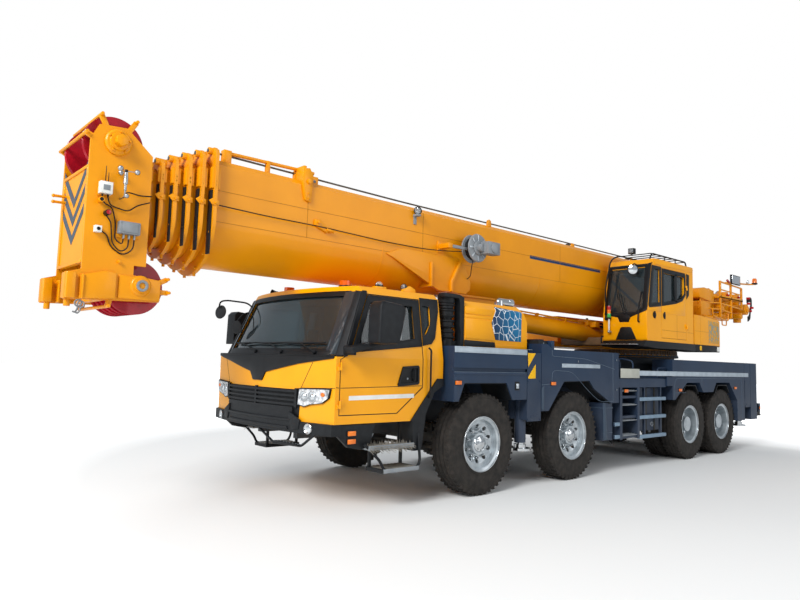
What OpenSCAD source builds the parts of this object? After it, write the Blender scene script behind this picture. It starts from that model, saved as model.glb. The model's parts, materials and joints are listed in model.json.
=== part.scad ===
// Four-axle truck crane with a six-section telescopic boom, stored over its cab.
// Lengths along x are measured forward from the first axle, y is to the left and z up from the ground.

/* [Overall] */
// From the first axle forward to the front of the boom head
front_reach = 4550; // [4400:10:4700]
// From the first axle back to the end of the winch frame
rear_reach = 9850; // [9700:10:10000]
// Half of the width over the side panels
half_width = 1400; // [1380:5:1420]

/* [Axles and wheels] */
// Gap between the tyres of the first and second axles
front_clear = 710; // [690:5:730]
// From the second axle to the third
axle_gap = 3710; // [3680:10:3740]
// Gap between the tyres of the third and fourth axles
tandem_clear = 120; // [100:5:140]
// Outer radius of a tyre, and the height of each axle
tyre_r = 615; // [600:5:618]
// Width of a tyre
tyre_w = 310; // [290:5:320]
// Radius of the rim's seat under the tyre
rim_r = 305; // [300:1:310]
// Height of the rim flange over the seat
flange_h = 33; // [25:1:38]
// Middle of a front tyre, and of the outer rear tyre, from the centre line
wheel_y = 1215; // [1205:5:1225]
// Middle of the inner rear tyre from the centre line
inner_wheel_y = 862; // [855:1:870]
// Distance of a kingpin from the centre line
kingpin_y = 985; // [975:5:995]
// Radius of a kingpin
kingpin_r = 40; // [30:1:45]
// Radius of a wheel spindle
spindle_r = 60; // [50:1:65]

/* [Frame] */
// Half width of the box frame
frame_y = 430; // [400:5:450]
// Underside of the box frame
frame_low = 780; // [760:5:800]
// Top of the box frame
frame_high = 1300; // [1280:5:1320]
// Wall of the box frame
frame_t = 14; // [10:1:20]
// Top of the carrier's deck
deck_z = 1750; // [1720:5:1770]
// Height of the wheel arches over the tyres
arch_clear = 124; // [110:1:140]

/* [Carrier cab] */
// Rear face of the cab
cab_rear = 620; // [600:5:640]
// Front of the nose, at its middle
cab_nose = 2340; // [2320:5:2360]
// Underside of the cab
cab_low = 930; // [920:5:950]
// Belt line under the windows
cab_belt = 1620; // [1600:5:1640]
// Top of the roof
cab_roof = 2400; // [2380:5:2410]
// Half width of the cab at the doors
cab_y = 1270; // [1260:5:1280]
// Half width of the cab at the roof
cab_roof_y = 1160; // [1150:5:1180]
// Thickness of the cab walls and doors
cab_t = 50; // [40:5:60]
// Gap round a door
door_gap = 6; // [5:1:8]

/* [Engine cover] */
// Front face of the engine cover
hood_front = 190; // [170:10:210]
// Rear face of the engine cover, behind the first axle
hood_rear = 1070; // [1050:10:1090]
// Top of the engine cover
hood_z = 2370; // [2350:5:2390]
// Half width of the engine cover
hood_y = 1200; // [1180:10:1220]
// Wall of the engine cover
hood_t = 30; // [20:5:40]

/* [Outriggers] */
// Middle of the rear outriggers, behind the fourth axle
outrigger_back = 1200; // [1180:10:1250]
// Width of one outrigger beam
beam_w = 130; // [120:2:134]
// Height of an outrigger beam
beam_h = 290; // [260:5:300]
// Middle height of the outrigger beams
beam_z = 1020; // [1000:5:1040]
// Clearance of a beam in its box
beam_gap = 6; // [5:1:8]
// Wall of the outrigger boxes
box_t = 10; // [8:1:12]
// Middle of a jack from the centre line
jack_y = 1230; // [1220:5:1240]
// Outer radius of a jack's tube
jack_r = 75; // [65:1:78]
// Radius of a jack's rod
jack_rod_r = 55; // [45:1:58]
// Underside of a jack's foot at rest
foot_z = 470; // [450:5:500]
// Radius of a jack's foot
foot_r = 140; // [120:5:145]

/* [Superstructure] */
// Middle of the slewing ring, behind the first axle
slew_back = 5800; // [5780:5:5820]
// Outer radius of the slewing ring
ring_r = 950; // [900:10:980]
// Underside of the turntable
table_z = 1950; // [1930:5:1960]
// Inner face of the turntable's side plates, from the centre line
plate_y = 495; // [490:1:505]
// Thickness of the turntable's side plates
plate_t = 40; // [30:2:45]
// Boom pivot behind the first axle
pivot_back = 8050; // [8030:5:8070]
// Height of the boom pivot
pivot_z = 3000; // [2980:5:3020]
// Radius of the boom pivot's pin
pivot_r = 75; // [65:1:80]
// Foot of the lift cylinder behind the first axle
lift_foot_back = 5500; // [5480:5:5520]
// Height of the lift cylinder's foot pin
lift_foot_z = 2160; // [2150:5:2175]
// Upper pin of the lift cylinder behind the first axle
lift_eye_back = 1400; // [1380:5:1420]
// Height of the lift cylinder's upper pin
lift_eye_z = 2330; // [2320:2:2340]
// Radius of the lift cylinder's barrel
barrel_r = 160; // [150:2:164]
// Radius of the lift cylinder's rod
rod_r = 110; // [100:2:115]
// Radius of the lift cylinder's pins
lift_pin_r = 55; // [50:1:60]

/* [Operator cab] */
// Front of the operator's cab at its base, behind the first axle
op_front = 4060; // [4040:10:4080]
// Rear of the operator's cab, behind the first axle
op_rear = 5780; // [5760:10:5800]
// Inner face of the operator's cab from the centre line
op_inner = 570; // [560:5:580]
// Outer face of the operator's cab from the centre line
op_outer = 1380; // [1370:5:1390]
// Floor of the operator's cab
op_low = 2050; // [2040:5:2060]
// Top of the operator's cab
op_high = 3450; // [3430:5:3470]
// Thickness of the operator cab's walls
op_t = 40; // [30:5:50]

/* [Boom] */
// Half width of the base section
boom_y = 440; // [430:2:446]
// Underside of the base section
boom_low = 2530; // [2520:2:2540]
// Top of the base section
boom_high = 3640; // [3620:5:3660]
// Front end of the base section
boom_front = 3200; // [3180:5:3220]
// Wall of the boom sections
boom_t = 12; // [10:1:14]
// Step in from one section to the next
boom_step = 38; // [36:1:40]
// Distance from one collar to the next
collar_pitch = 120; // [110:2:125]
// Thickness of a collar plate
collar_t = 36; // [30:2:44]
// Height of a collar over its section
collar_h = 95; // [80:5:110]
// Pin of the upper head sheaves ahead of the first axle
head_pin_x = 4180; // [4170:5:4190]
// Height of the upper head sheaves' pin
head_pin_z = 3560; // [3550:5:3570]
// Pin of the lower head sheaves ahead of the first axle
low_pin_x = 3890; // [3880:5:3900]
// Height of the lower head sheaves' pin
low_pin_z = 2230; // [2220:5:2240]
// Radius of the head sheaves
sheave_r = 275; // [260:5:280]
// Outer face of the head's side plates from the centre line
head_y = 420; // [410:5:430]
// Thickness of the head's side plates
head_t = 30; // [24:2:34]

/* [Fits] */
// Clearance of a moving pin in its bore, on the radius
pin_gap = 0.05; // [0.02:0.01:0.1]
// Clearance between pieces that only lie beside each other
seat_gap = 0.3; // [0.2:0.05:0.5]
// Clearance between moving bodies
move_gap = 6; // [5:1:8]

/* [Hidden] */
$fn = 64;

yellow = "#f2a900";
slate = "#24384c";
black = "#17191c";
metal = "#a8adb2";

// The frame's origin is under the middle of the whole length
shift = (rear_reach - front_reach) / 2;

// Places of the axles behind the first one, and of the outriggers between and behind them
axle_2 = 2 * tyre_r + front_clear;
axle_3 = axle_2 + axle_gap;
axle_4 = axle_3 + 2 * tyre_r + tandem_clear;
arch_z = 2 * tyre_r + arch_clear;
outrigger_front = axle_2 / 2 + 5;
outrigger_rear = axle_4 + outrigger_back;

// Puts a piece measured from the first axle in the part's own frame
module row() translate([shift, 0, 0]) children();

// A box between two corners
module block(a, b) translate(a) cube(b - a);

// A prism drawn in the side view, x and z, from y0 to y1
module side_prism(points, y0, y1)
    translate([0, y1, 0]) rotate([90, 0, 0]) linear_extrude(y1 - y0) polygon(points);

// A prism drawn in the front view, y and z, from x0 to x1
module front_prism(points, x0, x1)
    translate([x0, 0, 0]) rotate([90, 0, 90]) linear_extrude(x1 - x0) polygon(points);

// A round bar along y
module bar_y(x, z, r, y0, y1)
    translate([x, y0, z]) rotate([-90, 0, 0]) cylinder(h = y1 - y0, r = r);

// A round bar along x
module bar_x(y, z, r, x0, x1)
    translate([x0, y, z]) rotate([0, 90, 0]) cylinder(h = x1 - x0, r = r);

// A round bar along z
module bar_z(x, y, r, z0, z1)
    translate([x, y, z0]) cylinder(h = z1 - z0, r = r);

// A piece and its mirror image on the right
module both_sides() {
    children();
    mirror([0, 1, 0]) children();
}

// A piece on the left, or its mirror image on the right
module on_side(side) {
    if (side > 0) children();
    else mirror([0, 1, 0]) children();
}

// Frame, with the pedestal of the slewing ring and the tunnels of the outriggers
tunnel_w = beam_w + 2 * beam_gap;
tunnel_h = beam_h + 2 * beam_gap;
outrigger_w = 2 * tunnel_w + 3 * box_t;
outrigger_half = outrigger_w / 2;
tunnel_y = 1090;
frame_front = 560;
frame_rear = outrigger_rear + 490;
ring_gap_z = table_z - 160 - seat_gap;

// Left or right tunnel beside the middle of an outrigger box
function tunnel_x(back, side) = -back + side * (tunnel_w + box_t) / 2;

module outrigger_box(back)
    difference() {
        block([-back - outrigger_half, -tunnel_y, beam_z - tunnel_h / 2 - box_t],
              [-back + outrigger_half, tunnel_y, beam_z + tunnel_h / 2 + box_t]);
        for (side = [-1, 1])
            block([tunnel_x(back, side) - tunnel_w / 2, -tunnel_y - 1, beam_z - tunnel_h / 2],
                  [tunnel_x(back, side) + tunnel_w / 2, tunnel_y + 1, beam_z + tunnel_h / 2]);
    }

module box_frame()
    difference() {
        block([-frame_rear, -frame_y, frame_low], [frame_front, frame_y, frame_high]);
        block([-frame_rear + frame_t, -frame_y + frame_t, frame_low + frame_t],
              [frame_front - frame_t, frame_y - frame_t, frame_high - frame_t]);
        for (back = [outrigger_front, outrigger_rear])
            block([-back - outrigger_half, -tunnel_y, beam_z - tunnel_h / 2 - box_t],
                  [-back + outrigger_half, tunnel_y, beam_z + tunnel_h / 2 + box_t]);
    }

front_rail_low = 700;
front_rail_high = cab_low - seat_gap;
module front_rails()
    both_sides()
        block([frame_front, frame_y - 80, front_rail_low], [2060, frame_y, front_rail_high]);

module pedestal()
    difference() {
        union() {
            bar_z(-slew_back, 0, ring_r, frame_high, ring_gap_z - 60);
            bar_z(-slew_back, 0, ring_r + 60, ring_gap_z - 120, ring_gap_z - 60);
            bar_z(-slew_back, 0, ring_r - 40, ring_gap_z - 60, ring_gap_z);
        }
        bar_z(-slew_back, 0, ring_r - 220, frame_high - 1, ring_gap_z + 1);
    }

module chassis()
    row() color(slate) {
        box_frame();
        front_rails();
        pedestal();
        for (back = [outrigger_front, outrigger_rear])
            outrigger_box(back);
    }

// Axles: a forged beam with kingpin eyes in front, a housing tube with spindles at the rear
eye_half = 70;
axle_list = [0, axle_2, axle_3, axle_4];

module front_axle(back)
    difference() {
        union() {
            block([-back - 55, -kingpin_y + 60, tyre_r - 60], [-back + 55, kingpin_y - 60, tyre_r + 60]);
            for (side = [-1, 1])
                bar_z(-back, side * kingpin_y, kingpin_r + 34, tyre_r - eye_half, tyre_r + eye_half);
            for (side = [-1, 1])
                block([-back - 420, side * 400 - 40, tyre_r + 60], [-back + 420, side * 400 + 40, tyre_r + 90]);
            for (side = [-1, 1])
                block([-back - 50, side * 400 - 40, tyre_r + 90], [-back + 50, side * 400 + 40, frame_low]);
        }
        for (side = [-1, 1])
            bar_z(-back, side * kingpin_y, kingpin_r, tyre_r - eye_half - 1, tyre_r + eye_half + 1);
    }

hub_out = wheel_y + 90;
module rear_axle(back) {
    bar_y(-back, tyre_r, 105, -640, 640);
    bar_y(-back, tyre_r, spindle_r, -hub_out + 120, hub_out - 120);
    translate([-back, 0, tyre_r]) sphere(r = 160);
    for (side = [-1, 1])
        block([-back - 60, side * 400 - 50, tyre_r + 80], [-back + 60, side * 400 + 50, frame_low]);
}

module axles()
    row() color(black) {
        for (back = [0, axle_2])
            front_axle(back);
        for (back = [axle_3, axle_4])
            rear_axle(back);
    }

// Steering knuckle: a fork round the axle's eye, its kingpin and the wheel's spindle
fork_gap = 6;
module knuckle(back, side)
    row() color(metal) on_side(side) {
        bar_z(-back, kingpin_y, kingpin_r - pin_gap, tyre_r - eye_half - fork_gap - 40,
              tyre_r + eye_half + fork_gap + 40);
        for (z = [tyre_r - eye_half - fork_gap - 40, tyre_r + eye_half + fork_gap])
            block([-back - 60, kingpin_y - 55, z], [-back + 60, kingpin_y + 120, z + 40]);
        block([-back - 70, kingpin_y + 85, tyre_r - eye_half - fork_gap - 40],
              [-back + 70, kingpin_y + 125, tyre_r + eye_half + fork_gap + 40]);
        bar_y(-back, tyre_r, spindle_r - pin_gap, kingpin_y + 120, wheel_y + 70);
    }

module knuckle_1l() knuckle(0, 1);
module knuckle_1r() knuckle(0, -1);
module knuckle_2l() knuckle(axle_2, 1);
module knuckle_2r() knuckle(axle_2, -1);

// Tyre: its section is turned round the y axis, r first and then y from the tyre's middle
tyre_half = tyre_w / 2;
module tyre_section() {
    polygon([[rim_r + seat_gap, -tyre_half + 46], [rim_r + flange_h + 6, -tyre_half + 44],
        [rim_r + flange_h + 30, -tyre_half + 8], [rim_r + 150, -tyre_half],
        [tyre_r - 55, -tyre_half + 12], [tyre_r - 12, -tyre_half + 30], [tyre_r, -tyre_half + 60],
        [tyre_r, tyre_half - 60], [tyre_r - 12, tyre_half - 30], [tyre_r - 55, tyre_half - 12],
        [rim_r + 150, tyre_half], [rim_r + flange_h + 30, tyre_half - 8],
        [rim_r + flange_h + 6, tyre_half - 44], [rim_r + seat_gap, tyre_half - 46],
        [rim_r + seat_gap, tyre_half - 66], [rim_r + 60, tyre_half - 60], [tyre_r - 45, tyre_half - 40],
        [tyre_r - 45, -tyre_half + 40], [rim_r + 60, -tyre_half + 60], [rim_r + seat_gap, -tyre_half + 66]]);
}

module turned_y(back, y)
    translate([-back, y, tyre_r]) rotate([-90, 0, 0]) rotate_extrude($fn = 96) children();

module tyre(back, side, twin)
    row() color(black) on_side(side) {
        turned_y(back, wheel_y) tyre_section();
        if (twin) turned_y(back, inner_wheel_y) tyre_section();
    }

module tyre_1l() tyre(0, 1, false);
module tyre_1r() tyre(0, -1, false);
module tyre_2l() tyre(axle_2, 1, false);
module tyre_2r() tyre(axle_2, -1, false);
module tyre_3l() tyre(axle_3, 1, true);
module tyre_3r() tyre(axle_3, -1, true);
module tyre_4l() tyre(axle_4, 1, true);
module tyre_4r() tyre(axle_4, -1, true);

// Rims: a well between two flanges, a disc and a hub on the spindle
rim_half = tyre_half - 40;
rim_t = 12;
hub_r = 140;
hand_holes = 10;
module rim_section()
    polygon([[rim_r + flange_h, -rim_half - 22], [rim_r + flange_h, -rim_half - 10], [rim_r, -rim_half],
        [rim_r, rim_half], [rim_r + flange_h, rim_half + 10], [rim_r + flange_h, rim_half + 22],
        [rim_r - rim_t, rim_half + 8], [rim_r - rim_t, -rim_half - 8]]);

module disc_section(y, bore_r)
    polygon([[bore_r, y - 8], [hub_r + 30, y - 8], [rim_r - 60, y + 40], [rim_r - rim_t + 2, y + 40],
        [rim_r - rim_t + 2, y + 54], [rim_r - 64, y + 54], [hub_r + 26, y + 8], [bore_r, y + 8]]);

module hand_hole_ring(back, y)
    for (i = [0:hand_holes - 1])
        translate([-back, y, tyre_r]) rotate([0, i * 360 / hand_holes, 0]) translate([0, -60, hub_r + 72])
            rotate([-90, 0, 0]) cylinder(h = 140, r = 27);

disc_in = 20;
module front_wheel(back, side)
    row() color(metal) on_side(side) {
        difference() {
            union() {
                turned_y(back, wheel_y) rim_section();
                turned_y(back, wheel_y) disc_section(disc_in, hub_r - 10);
            }
            hand_hole_ring(back, wheel_y);
        }
        difference() {
            bar_y(-back, tyre_r, hub_r - 9, wheel_y - 40, wheel_y + 100);
            bar_y(-back, tyre_r, spindle_r, wheel_y - 41, wheel_y + 80);
        }
    }

module rear_wheel(back, side)
    row() color(metal) on_side(side) {
        for (y = [wheel_y, inner_wheel_y])
            turned_y(back, y) rim_section();
        difference() {
            union() {
                turned_y(back, wheel_y) disc_section(-90, hub_r - 10);
                turned_y(back, inner_wheel_y) disc_section(60, hub_r - 10);
            }
            hand_hole_ring(back, wheel_y - 100);
            hand_hole_ring(back, inner_wheel_y + 60);
        }
        difference() {
            bar_y(-back, tyre_r, hub_r - 9, inner_wheel_y - 100, hub_out);
            bar_y(-back, tyre_r, spindle_r + pin_gap, inner_wheel_y - 101, hub_out - 110);
        }
    }

module wheel_1l() front_wheel(0, 1);
module wheel_1r() front_wheel(0, -1);
module wheel_2l() front_wheel(axle_2, 1);
module wheel_2r() front_wheel(axle_2, -1);
module wheel_3l() rear_wheel(axle_3, 1);
module wheel_3r() rear_wheel(axle_3, -1);
module wheel_4l() rear_wheel(axle_4, 1);
module wheel_4r() rear_wheel(axle_4, -1);

// Carrier cab: its outer form set in by t, first without the lean of the windscreen
nose_r = 5000;
wide_fn = 360;
screen_r = 3600;
screen_lean = 24.6;
screen_base = cab_nose - 20;
cab_step = 1400;
arch_x = 1130;
cab_end = 720;

module cab_body(t)
    intersection() {
        side_prism([[cab_rear + t, cab_step + t], [cab_end + t, cab_step + t], [arch_x + t, cab_low + t],
            [cab_nose + 500, cab_low + t], [cab_nose + 500, cab_roof - t], [cab_rear + t, cab_roof - t]],
            -2 * cab_y, 2 * cab_y);
        front_prism([[-cab_y + t, cab_low - 100], [cab_y - t, cab_low - 100], [cab_y - t, cab_belt],
            [cab_roof_y - t, cab_roof - 70], [cab_roof_y - 90 - t, cab_roof + 10],
            [-cab_roof_y + 90 + t, cab_roof + 10], [-cab_roof_y + t, cab_roof - 70], [-cab_y + t, cab_belt]],
            cab_rear - 100, cab_nose + 100);
        bar_z(cab_nose - nose_r, 0, nose_r - t, cab_low - 200, cab_roof + 200, $fn = wide_fn);
    }

module cab_form(t)
    intersection() {
        cab_body(t);
        union() {
            block([cab_rear - 200, -2 * cab_y, cab_low - 200], [cab_nose + 200, 2 * cab_y, cab_belt - t]);
            translate([screen_base, 0, cab_belt]) rotate([0, -screen_lean, 0])
                translate([-screen_r, 0, -2000]) cylinder(h = 4000, r = screen_r - t, $fn = wide_fn);
        }
    }

// Outline of a door in the side view, made smaller by g
door_front = 2120;
door_back = 950;
door_low = 1020;
door_top = 2310;
module door_outline(g, y0, y1)
    side_prism([[door_front - g, door_low + g], [door_front - g, cab_belt - 30],
        [door_front - 75 - g, cab_belt + 10], [door_front - 130 - g, cab_belt + 60],
        [door_front - 400 - g, door_top - g], [door_back + g, door_top - g], [door_back + g, 1300 + g],
        [1330 + g, door_low + g]], y0, y1);

module door_window(y0, y1)
    side_prism([[door_front - 190, cab_belt + 60], [door_front - 425, door_top - 60], [door_back + 90, door_top - 60],
        [door_back + 90, cab_belt + 190]], y0, y1);

module quarter_window(y0, y1)
    side_prism([[door_back - 40, cab_belt + 250], [door_back - 40, door_top - 60], [780, door_top - 60],
        [790, 2020]], y0, y1);

screen_low = cab_belt + 50;
screen_high = 2300;
module windscreen_prism(g, x0)
    front_prism([[-1070 + g, screen_low + g], [1070 - g, screen_low + g], [1000 - g, screen_high - g],
        [-1000 + g, screen_high - g]], x0, cab_nose + 100);

module rear_window_prism(g)
    front_prism([[-700 + g, 1700 + g], [700 - g, 1700 + g], [700 - g, 2200 - g], [-700 + g, 2200 - g]],
        cab_rear - 100, cab_rear + 300);

module cab_shell()
    row() color(yellow) {
        both_sides() hinge_fixed(hinge_x, cab_y, hinge_z, 1);
        difference() {
            cab_form(0);
            cab_form(cab_t);
            windscreen_prism(0, 1500);
            rear_window_prism(0);
            both_sides() {
                door_outline(0, cab_roof_y - 200, cab_y + 100);
                quarter_window(cab_roof_y - 200, cab_y + 100);
            }
        }
    }

glass_in = 15;
glass_t = 6;
module cab_glass()
    row() color("#2a3640")
        intersection() {
            difference() {
                cab_form(glass_in);
                cab_form(glass_in + glass_t);
            }
            union() {
                windscreen_prism(seat_gap, 1500);
                rear_window_prism(seat_gap);
                both_sides() quarter_window(cab_roof_y - 200, cab_y + 100);
            }
        }

// Hinges: a fixed pin on a bracket, and a barrel round it on the door, at each height of a list
hinge_out = 14;
hinge_pin_r = 7;
hinge_r = 12;
hinge_x = door_front - 2;
hinge_z = [cab_low + 200, cab_belt - 100];

// The brackets run from the pin to the face at y, forward or back by the sign of dir
module hinge_fixed(x, y, heights, dir)
    for (z = heights) {
        bar_z(x, y + hinge_out, hinge_pin_r, z - 40, z + 30);
        bar_z(x, y + hinge_out, hinge_r, z - 40, z);
        block([min(x, x + dir * 40), y - 1, z - 40], [max(x, x + dir * 40), y + hinge_out + 4, z]);
    }

module hinge_moving(x, y, heights, dir)
    for (z = heights)
        difference() {
            union() {
                bar_z(x, y + hinge_out, hinge_r, z + 2, z + 42);
                block([min(x, x + dir * 40), y - 1, z + 2], [max(x, x + dir * 40), y + hinge_out + 4, z + 42]);
            }
            bar_z(x, y + hinge_out, hinge_pin_r + pin_gap, z + 1, z + 32);
        }

module door_panel(side)
    row() color(yellow) on_side(side) {
        intersection() {
            difference() {
                cab_body(0);
                cab_body(cab_t);
                door_window(cab_roof_y - 200, cab_y + 100);
            }
            door_outline(door_gap, cab_roof_y - 200, cab_y + 100);
        }
        hinge_moving(hinge_x, cab_y, hinge_z, -1);
    }

module door_left() door_panel(1);
module door_right() door_panel(-1);

// Cab interior: floor, dash, wheel, two seats
module seat(y) {
    block([1210, y - 240, cab_low + 200], [1660, y + 240, cab_low + 420]);
    block([1110, y - 240, cab_low + 300], [1215, y + 240, cab_low + 1050]);
}

module cab_interior()
    row() color(black) {
        block([arch_x + 130, -960, cab_low + cab_t + seat_gap], [2130, 960, cab_low + 110]);
        block([1840, -960, cab_low + 300], [2080, 960, cab_belt - 10]);
        block([1880, -500, cab_low + 110], [2080, 500, cab_low + 300]);
        for (y = [-620, 620])
            seat(y);
        for (y = [-620, 620])
            block([1290, y - 180, cab_low + 110], [1600, y + 180, cab_low + 200]);
        translate([1760, 620, cab_belt + 60]) rotate([0, -62, 0]) rotate_extrude($fn = 48)
            translate([205, 0]) circle(r = 18, $fn = 24);
        translate([1760, 620, cab_belt + 60]) rotate([0, -62, 0]) block([-190, -20, -12], [190, 20, 12]);
        translate([1760, 620, cab_belt + 60]) rotate([0, 118, 0]) cylinder(h = 240, r = 28);
    }

// Black trim of the cab: grille, bumper apron, mirrors, steps, air intake and wheel arch edge
mirror_arm_r = 14;
grille_low = cab_low + 160;
grille_pitch = 46;
grille_bars = 4;
grille_half = 760;
bumper_low = cab_low - 120;
bumper_half = 700;
skin_out = 26;

// A band that follows the nose, proud of it, between two heights and as wide as half on each side
module nose_band(half, z0, z1)
    intersection() {
        difference() {
            bar_z(cab_nose - nose_r, 0, nose_r + skin_out, z0, z1, $fn = wide_fn);
            bar_z(cab_nose - nose_r, 0, nose_r + seat_gap, z0 - 1, z1 + 1, $fn = wide_fn);
        }
        block([cab_nose - 300, -half, z0], [cab_nose + 40, half, z1]);
    }

// Black mudguard between the cab and the first wheel
guard_x = 960;
module front_mudguard()
    side_prism([[arch_x - seat_gap, cab_low], [cab_end - seat_gap, cab_step], [cab_rear, cab_step],
        [cab_rear, cab_step - 80], [770, 1240], [guard_x - 60, 1000], [guard_x, 600], [guard_x + 120, 600],
        [guard_x + 150, cab_low - seat_gap], [arch_x, cab_low - seat_gap]], 1050, cab_y + 15);

// Ribbed hose of the air intake between the cab and the engine cover
intake_x = 400;
intake_y = 1080;
intake_r = 95;
intake_ribs = 5;
module air_intake()
    for (i = [0:intake_ribs - 1]) {
        low = hood_low + i * (hood_z - hood_low) / intake_ribs;
        rib = (hood_z - hood_low) / intake_ribs;
        bar_z(intake_x, intake_y, intake_r, low, low + rib - 26);
        bar_z(intake_x, intake_y, intake_r - 22, low + rib - 27, low + rib + 1);
    }

module cab_trim()
    row() color(black) {
        intersection() {
            bar_z(cab_nose - nose_r, 0, nose_r + 30, bumper_low, cab_low, $fn = wide_fn);
            block([cab_nose - 260, -cab_y, bumper_low], [cab_nose + 40, cab_y, cab_low - seat_gap]);
        }
        nose_band(bumper_half, cab_low, grille_low - 14);
        for (i = [0:grille_bars - 1])
            nose_band(grille_half, grille_low + i * grille_pitch, grille_low + i * grille_pitch + 24);
        for (y = [-grille_half, -16, grille_half - 32])
            intersection() {
                nose_band(grille_half, grille_low - 15, grille_low + grille_bars * grille_pitch);
                block([0, y, 0], [cab_nose + 100, y + 32, cab_roof]);
            }
        both_sides() {
            block([1050, 1050, 400], [1570, 1350, 440]);
            for (x = [1085, 1540])
                block([x - 15, 1060, 440], [x + 15, 1090, cab_low - seat_gap]);
            front_mudguard();
        }
        air_intake();
    }

// Mirrors on the doors: an arm, and a housing at its end
mirror_x = 1850;
mirror_y = 1500;
module door_mirror(side)
    row() color(black) on_side(side) {
        bar_y(mirror_x, cab_belt - 30, mirror_arm_r, cab_y + seat_gap, mirror_y + 30);
        bar_z(mirror_x, mirror_y, mirror_arm_r, cab_belt - 40, 2160);
        block([mirror_x - 90, mirror_y - 70, 1760], [mirror_x + 50, mirror_y + 150, 2200]);
    }

module mirror_left() door_mirror(1);
module mirror_right() door_mirror(-1);

// Lamps: headlamps, roof beacons and side markers
beacon_top = 2505;
module lamps()
    row() color("#ff9a1f") {
        for (y = [-600, 600])
            bar_z(1600, y, 65, cab_roof + seat_gap, beacon_top);
        both_sides() intersection() {
            bar_z(cab_nose - nose_r, 0, nose_r + 24, cab_low + 100, cab_low + 400, $fn = wide_fn);
            difference() {
                front_prism([[780, cab_low + 180], [880, cab_low + 165], [960, cab_low + 190],
                    [1120, cab_low + 210], [1200, cab_low + 260], [1220, cab_low + 350],
                    [800, cab_low + 340]], cab_nose - 200, cab_nose + 40);
                bar_z(cab_nose - nose_r, 0, nose_r + seat_gap, cab_low + 90, cab_low + 410, $fn = wide_fn);
            }
        }
    }

// Engine cover over the engine, open below
hood_low = 1790;
hood_cut = 90;
hood_slope = 130;

// The cover's outer form set in by t
module hood_form(t)
    intersection() {
        front_prism([[-hood_y + t, hood_low - 1], [hood_y - t, hood_low - 1], [hood_y - t, hood_z - hood_cut - t / 2],
            [hood_y - hood_cut - t / 2, hood_z - t], [-hood_y + hood_cut + t / 2, hood_z - t],
            [-hood_y + t, hood_z - hood_cut - t / 2]], -hood_rear - 200, hood_front + 100);
        side_prism([[-hood_rear + t, hood_low - (t > 0 ? 1 : 0)], [hood_front - t, hood_low - (t > 0 ? 1 : 0)],
            [hood_front - t, hood_z], [-hood_rear + hood_slope + t / 2, hood_z],
            [-hood_rear + t, hood_z - hood_slope * 1.6]], -hood_y - 100, hood_y + 100);
    }

module hood()
    row() color(yellow) {
        difference() {
            hood_form(0);
            hood_form(hood_t);
        }
        bar_z(-830, 900, 60, hood_z - 5, 2440);
        translate([-830, 900, 2440]) sphere(r = 60);
        bar_x(900, 2440, 60, -1060, -830);
    }

module engine()
    row() color(metal) {
        block([-1000, -380, frame_high + seat_gap], [140, 380, 2100]);
    }

// Dark boxes along the sides, from the cab to the second axle
box_gap = 160;
box_inner = 700;
box1_front = 570;
box2_high = 1810;
box2_rear = axle_2 + 1180;
skirt_z = 1140;
lug_z = 980;
groove_z = 1490;
groove_h = 46;
groove_in = 25;
tunnel_top = beam_z + tunnel_h / 2 + box_t + seat_gap;
box1_rear = -outrigger_front + box_gap;
box2_front = -outrigger_front - box_gap;

// First box: its outline dips on both sides of the wheel, and a groove runs along its face
module box_1()
    difference() {
        side_prism([[box1_front, skirt_z], [box1_front, hood_low - seat_gap], [box1_rear, hood_low - seat_gap],
            [box1_rear, skirt_z], [-524, skirt_z], [-404, arch_z], [385, arch_z], [480, skirt_z]],
            box_inner, half_width);
        block([box1_rear - 1, half_width - groove_in, groove_z], [box1_front + 1, half_width + 1, groove_z + groove_h]);
    }

// Second box, over the second wheel, and the mudguard behind that wheel
module box_2() {
    side_prism([[box2_front, lug_z], [box2_front, box2_high + 70], [box2_front - 130, box2_high + 70],
        [box2_front - 260, box2_high], [-box2_rear, box2_high], [-box2_rear, 1050], [-axle_2 - 960, 1050],
        [-axle_2 - 490, arch_z - 90], [-axle_2 - 360, arch_z + 30], [-axle_2 + 280, arch_z + 20],
        [-axle_2 + 640, lug_z]], box_inner, half_width);
    block([-axle_2 - 1070, 1060, 490], [-axle_2 - 800, 1350, 1051]);
}

module side_boxes()
    row() color(slate) {
        both_sides() {
            box_1();
            block([box2_front, box_inner, tunnel_top], [box1_rear, tunnel_y - 5, hood_low - seat_gap]);
            box_2();
        }
        for (x = [350, -axle_2 + 440, -axle_2 - 560])
            block([x, -box_inner, frame_high + seat_gap], [x + 150, box_inner, arch_z + 40]);
    }

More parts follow.
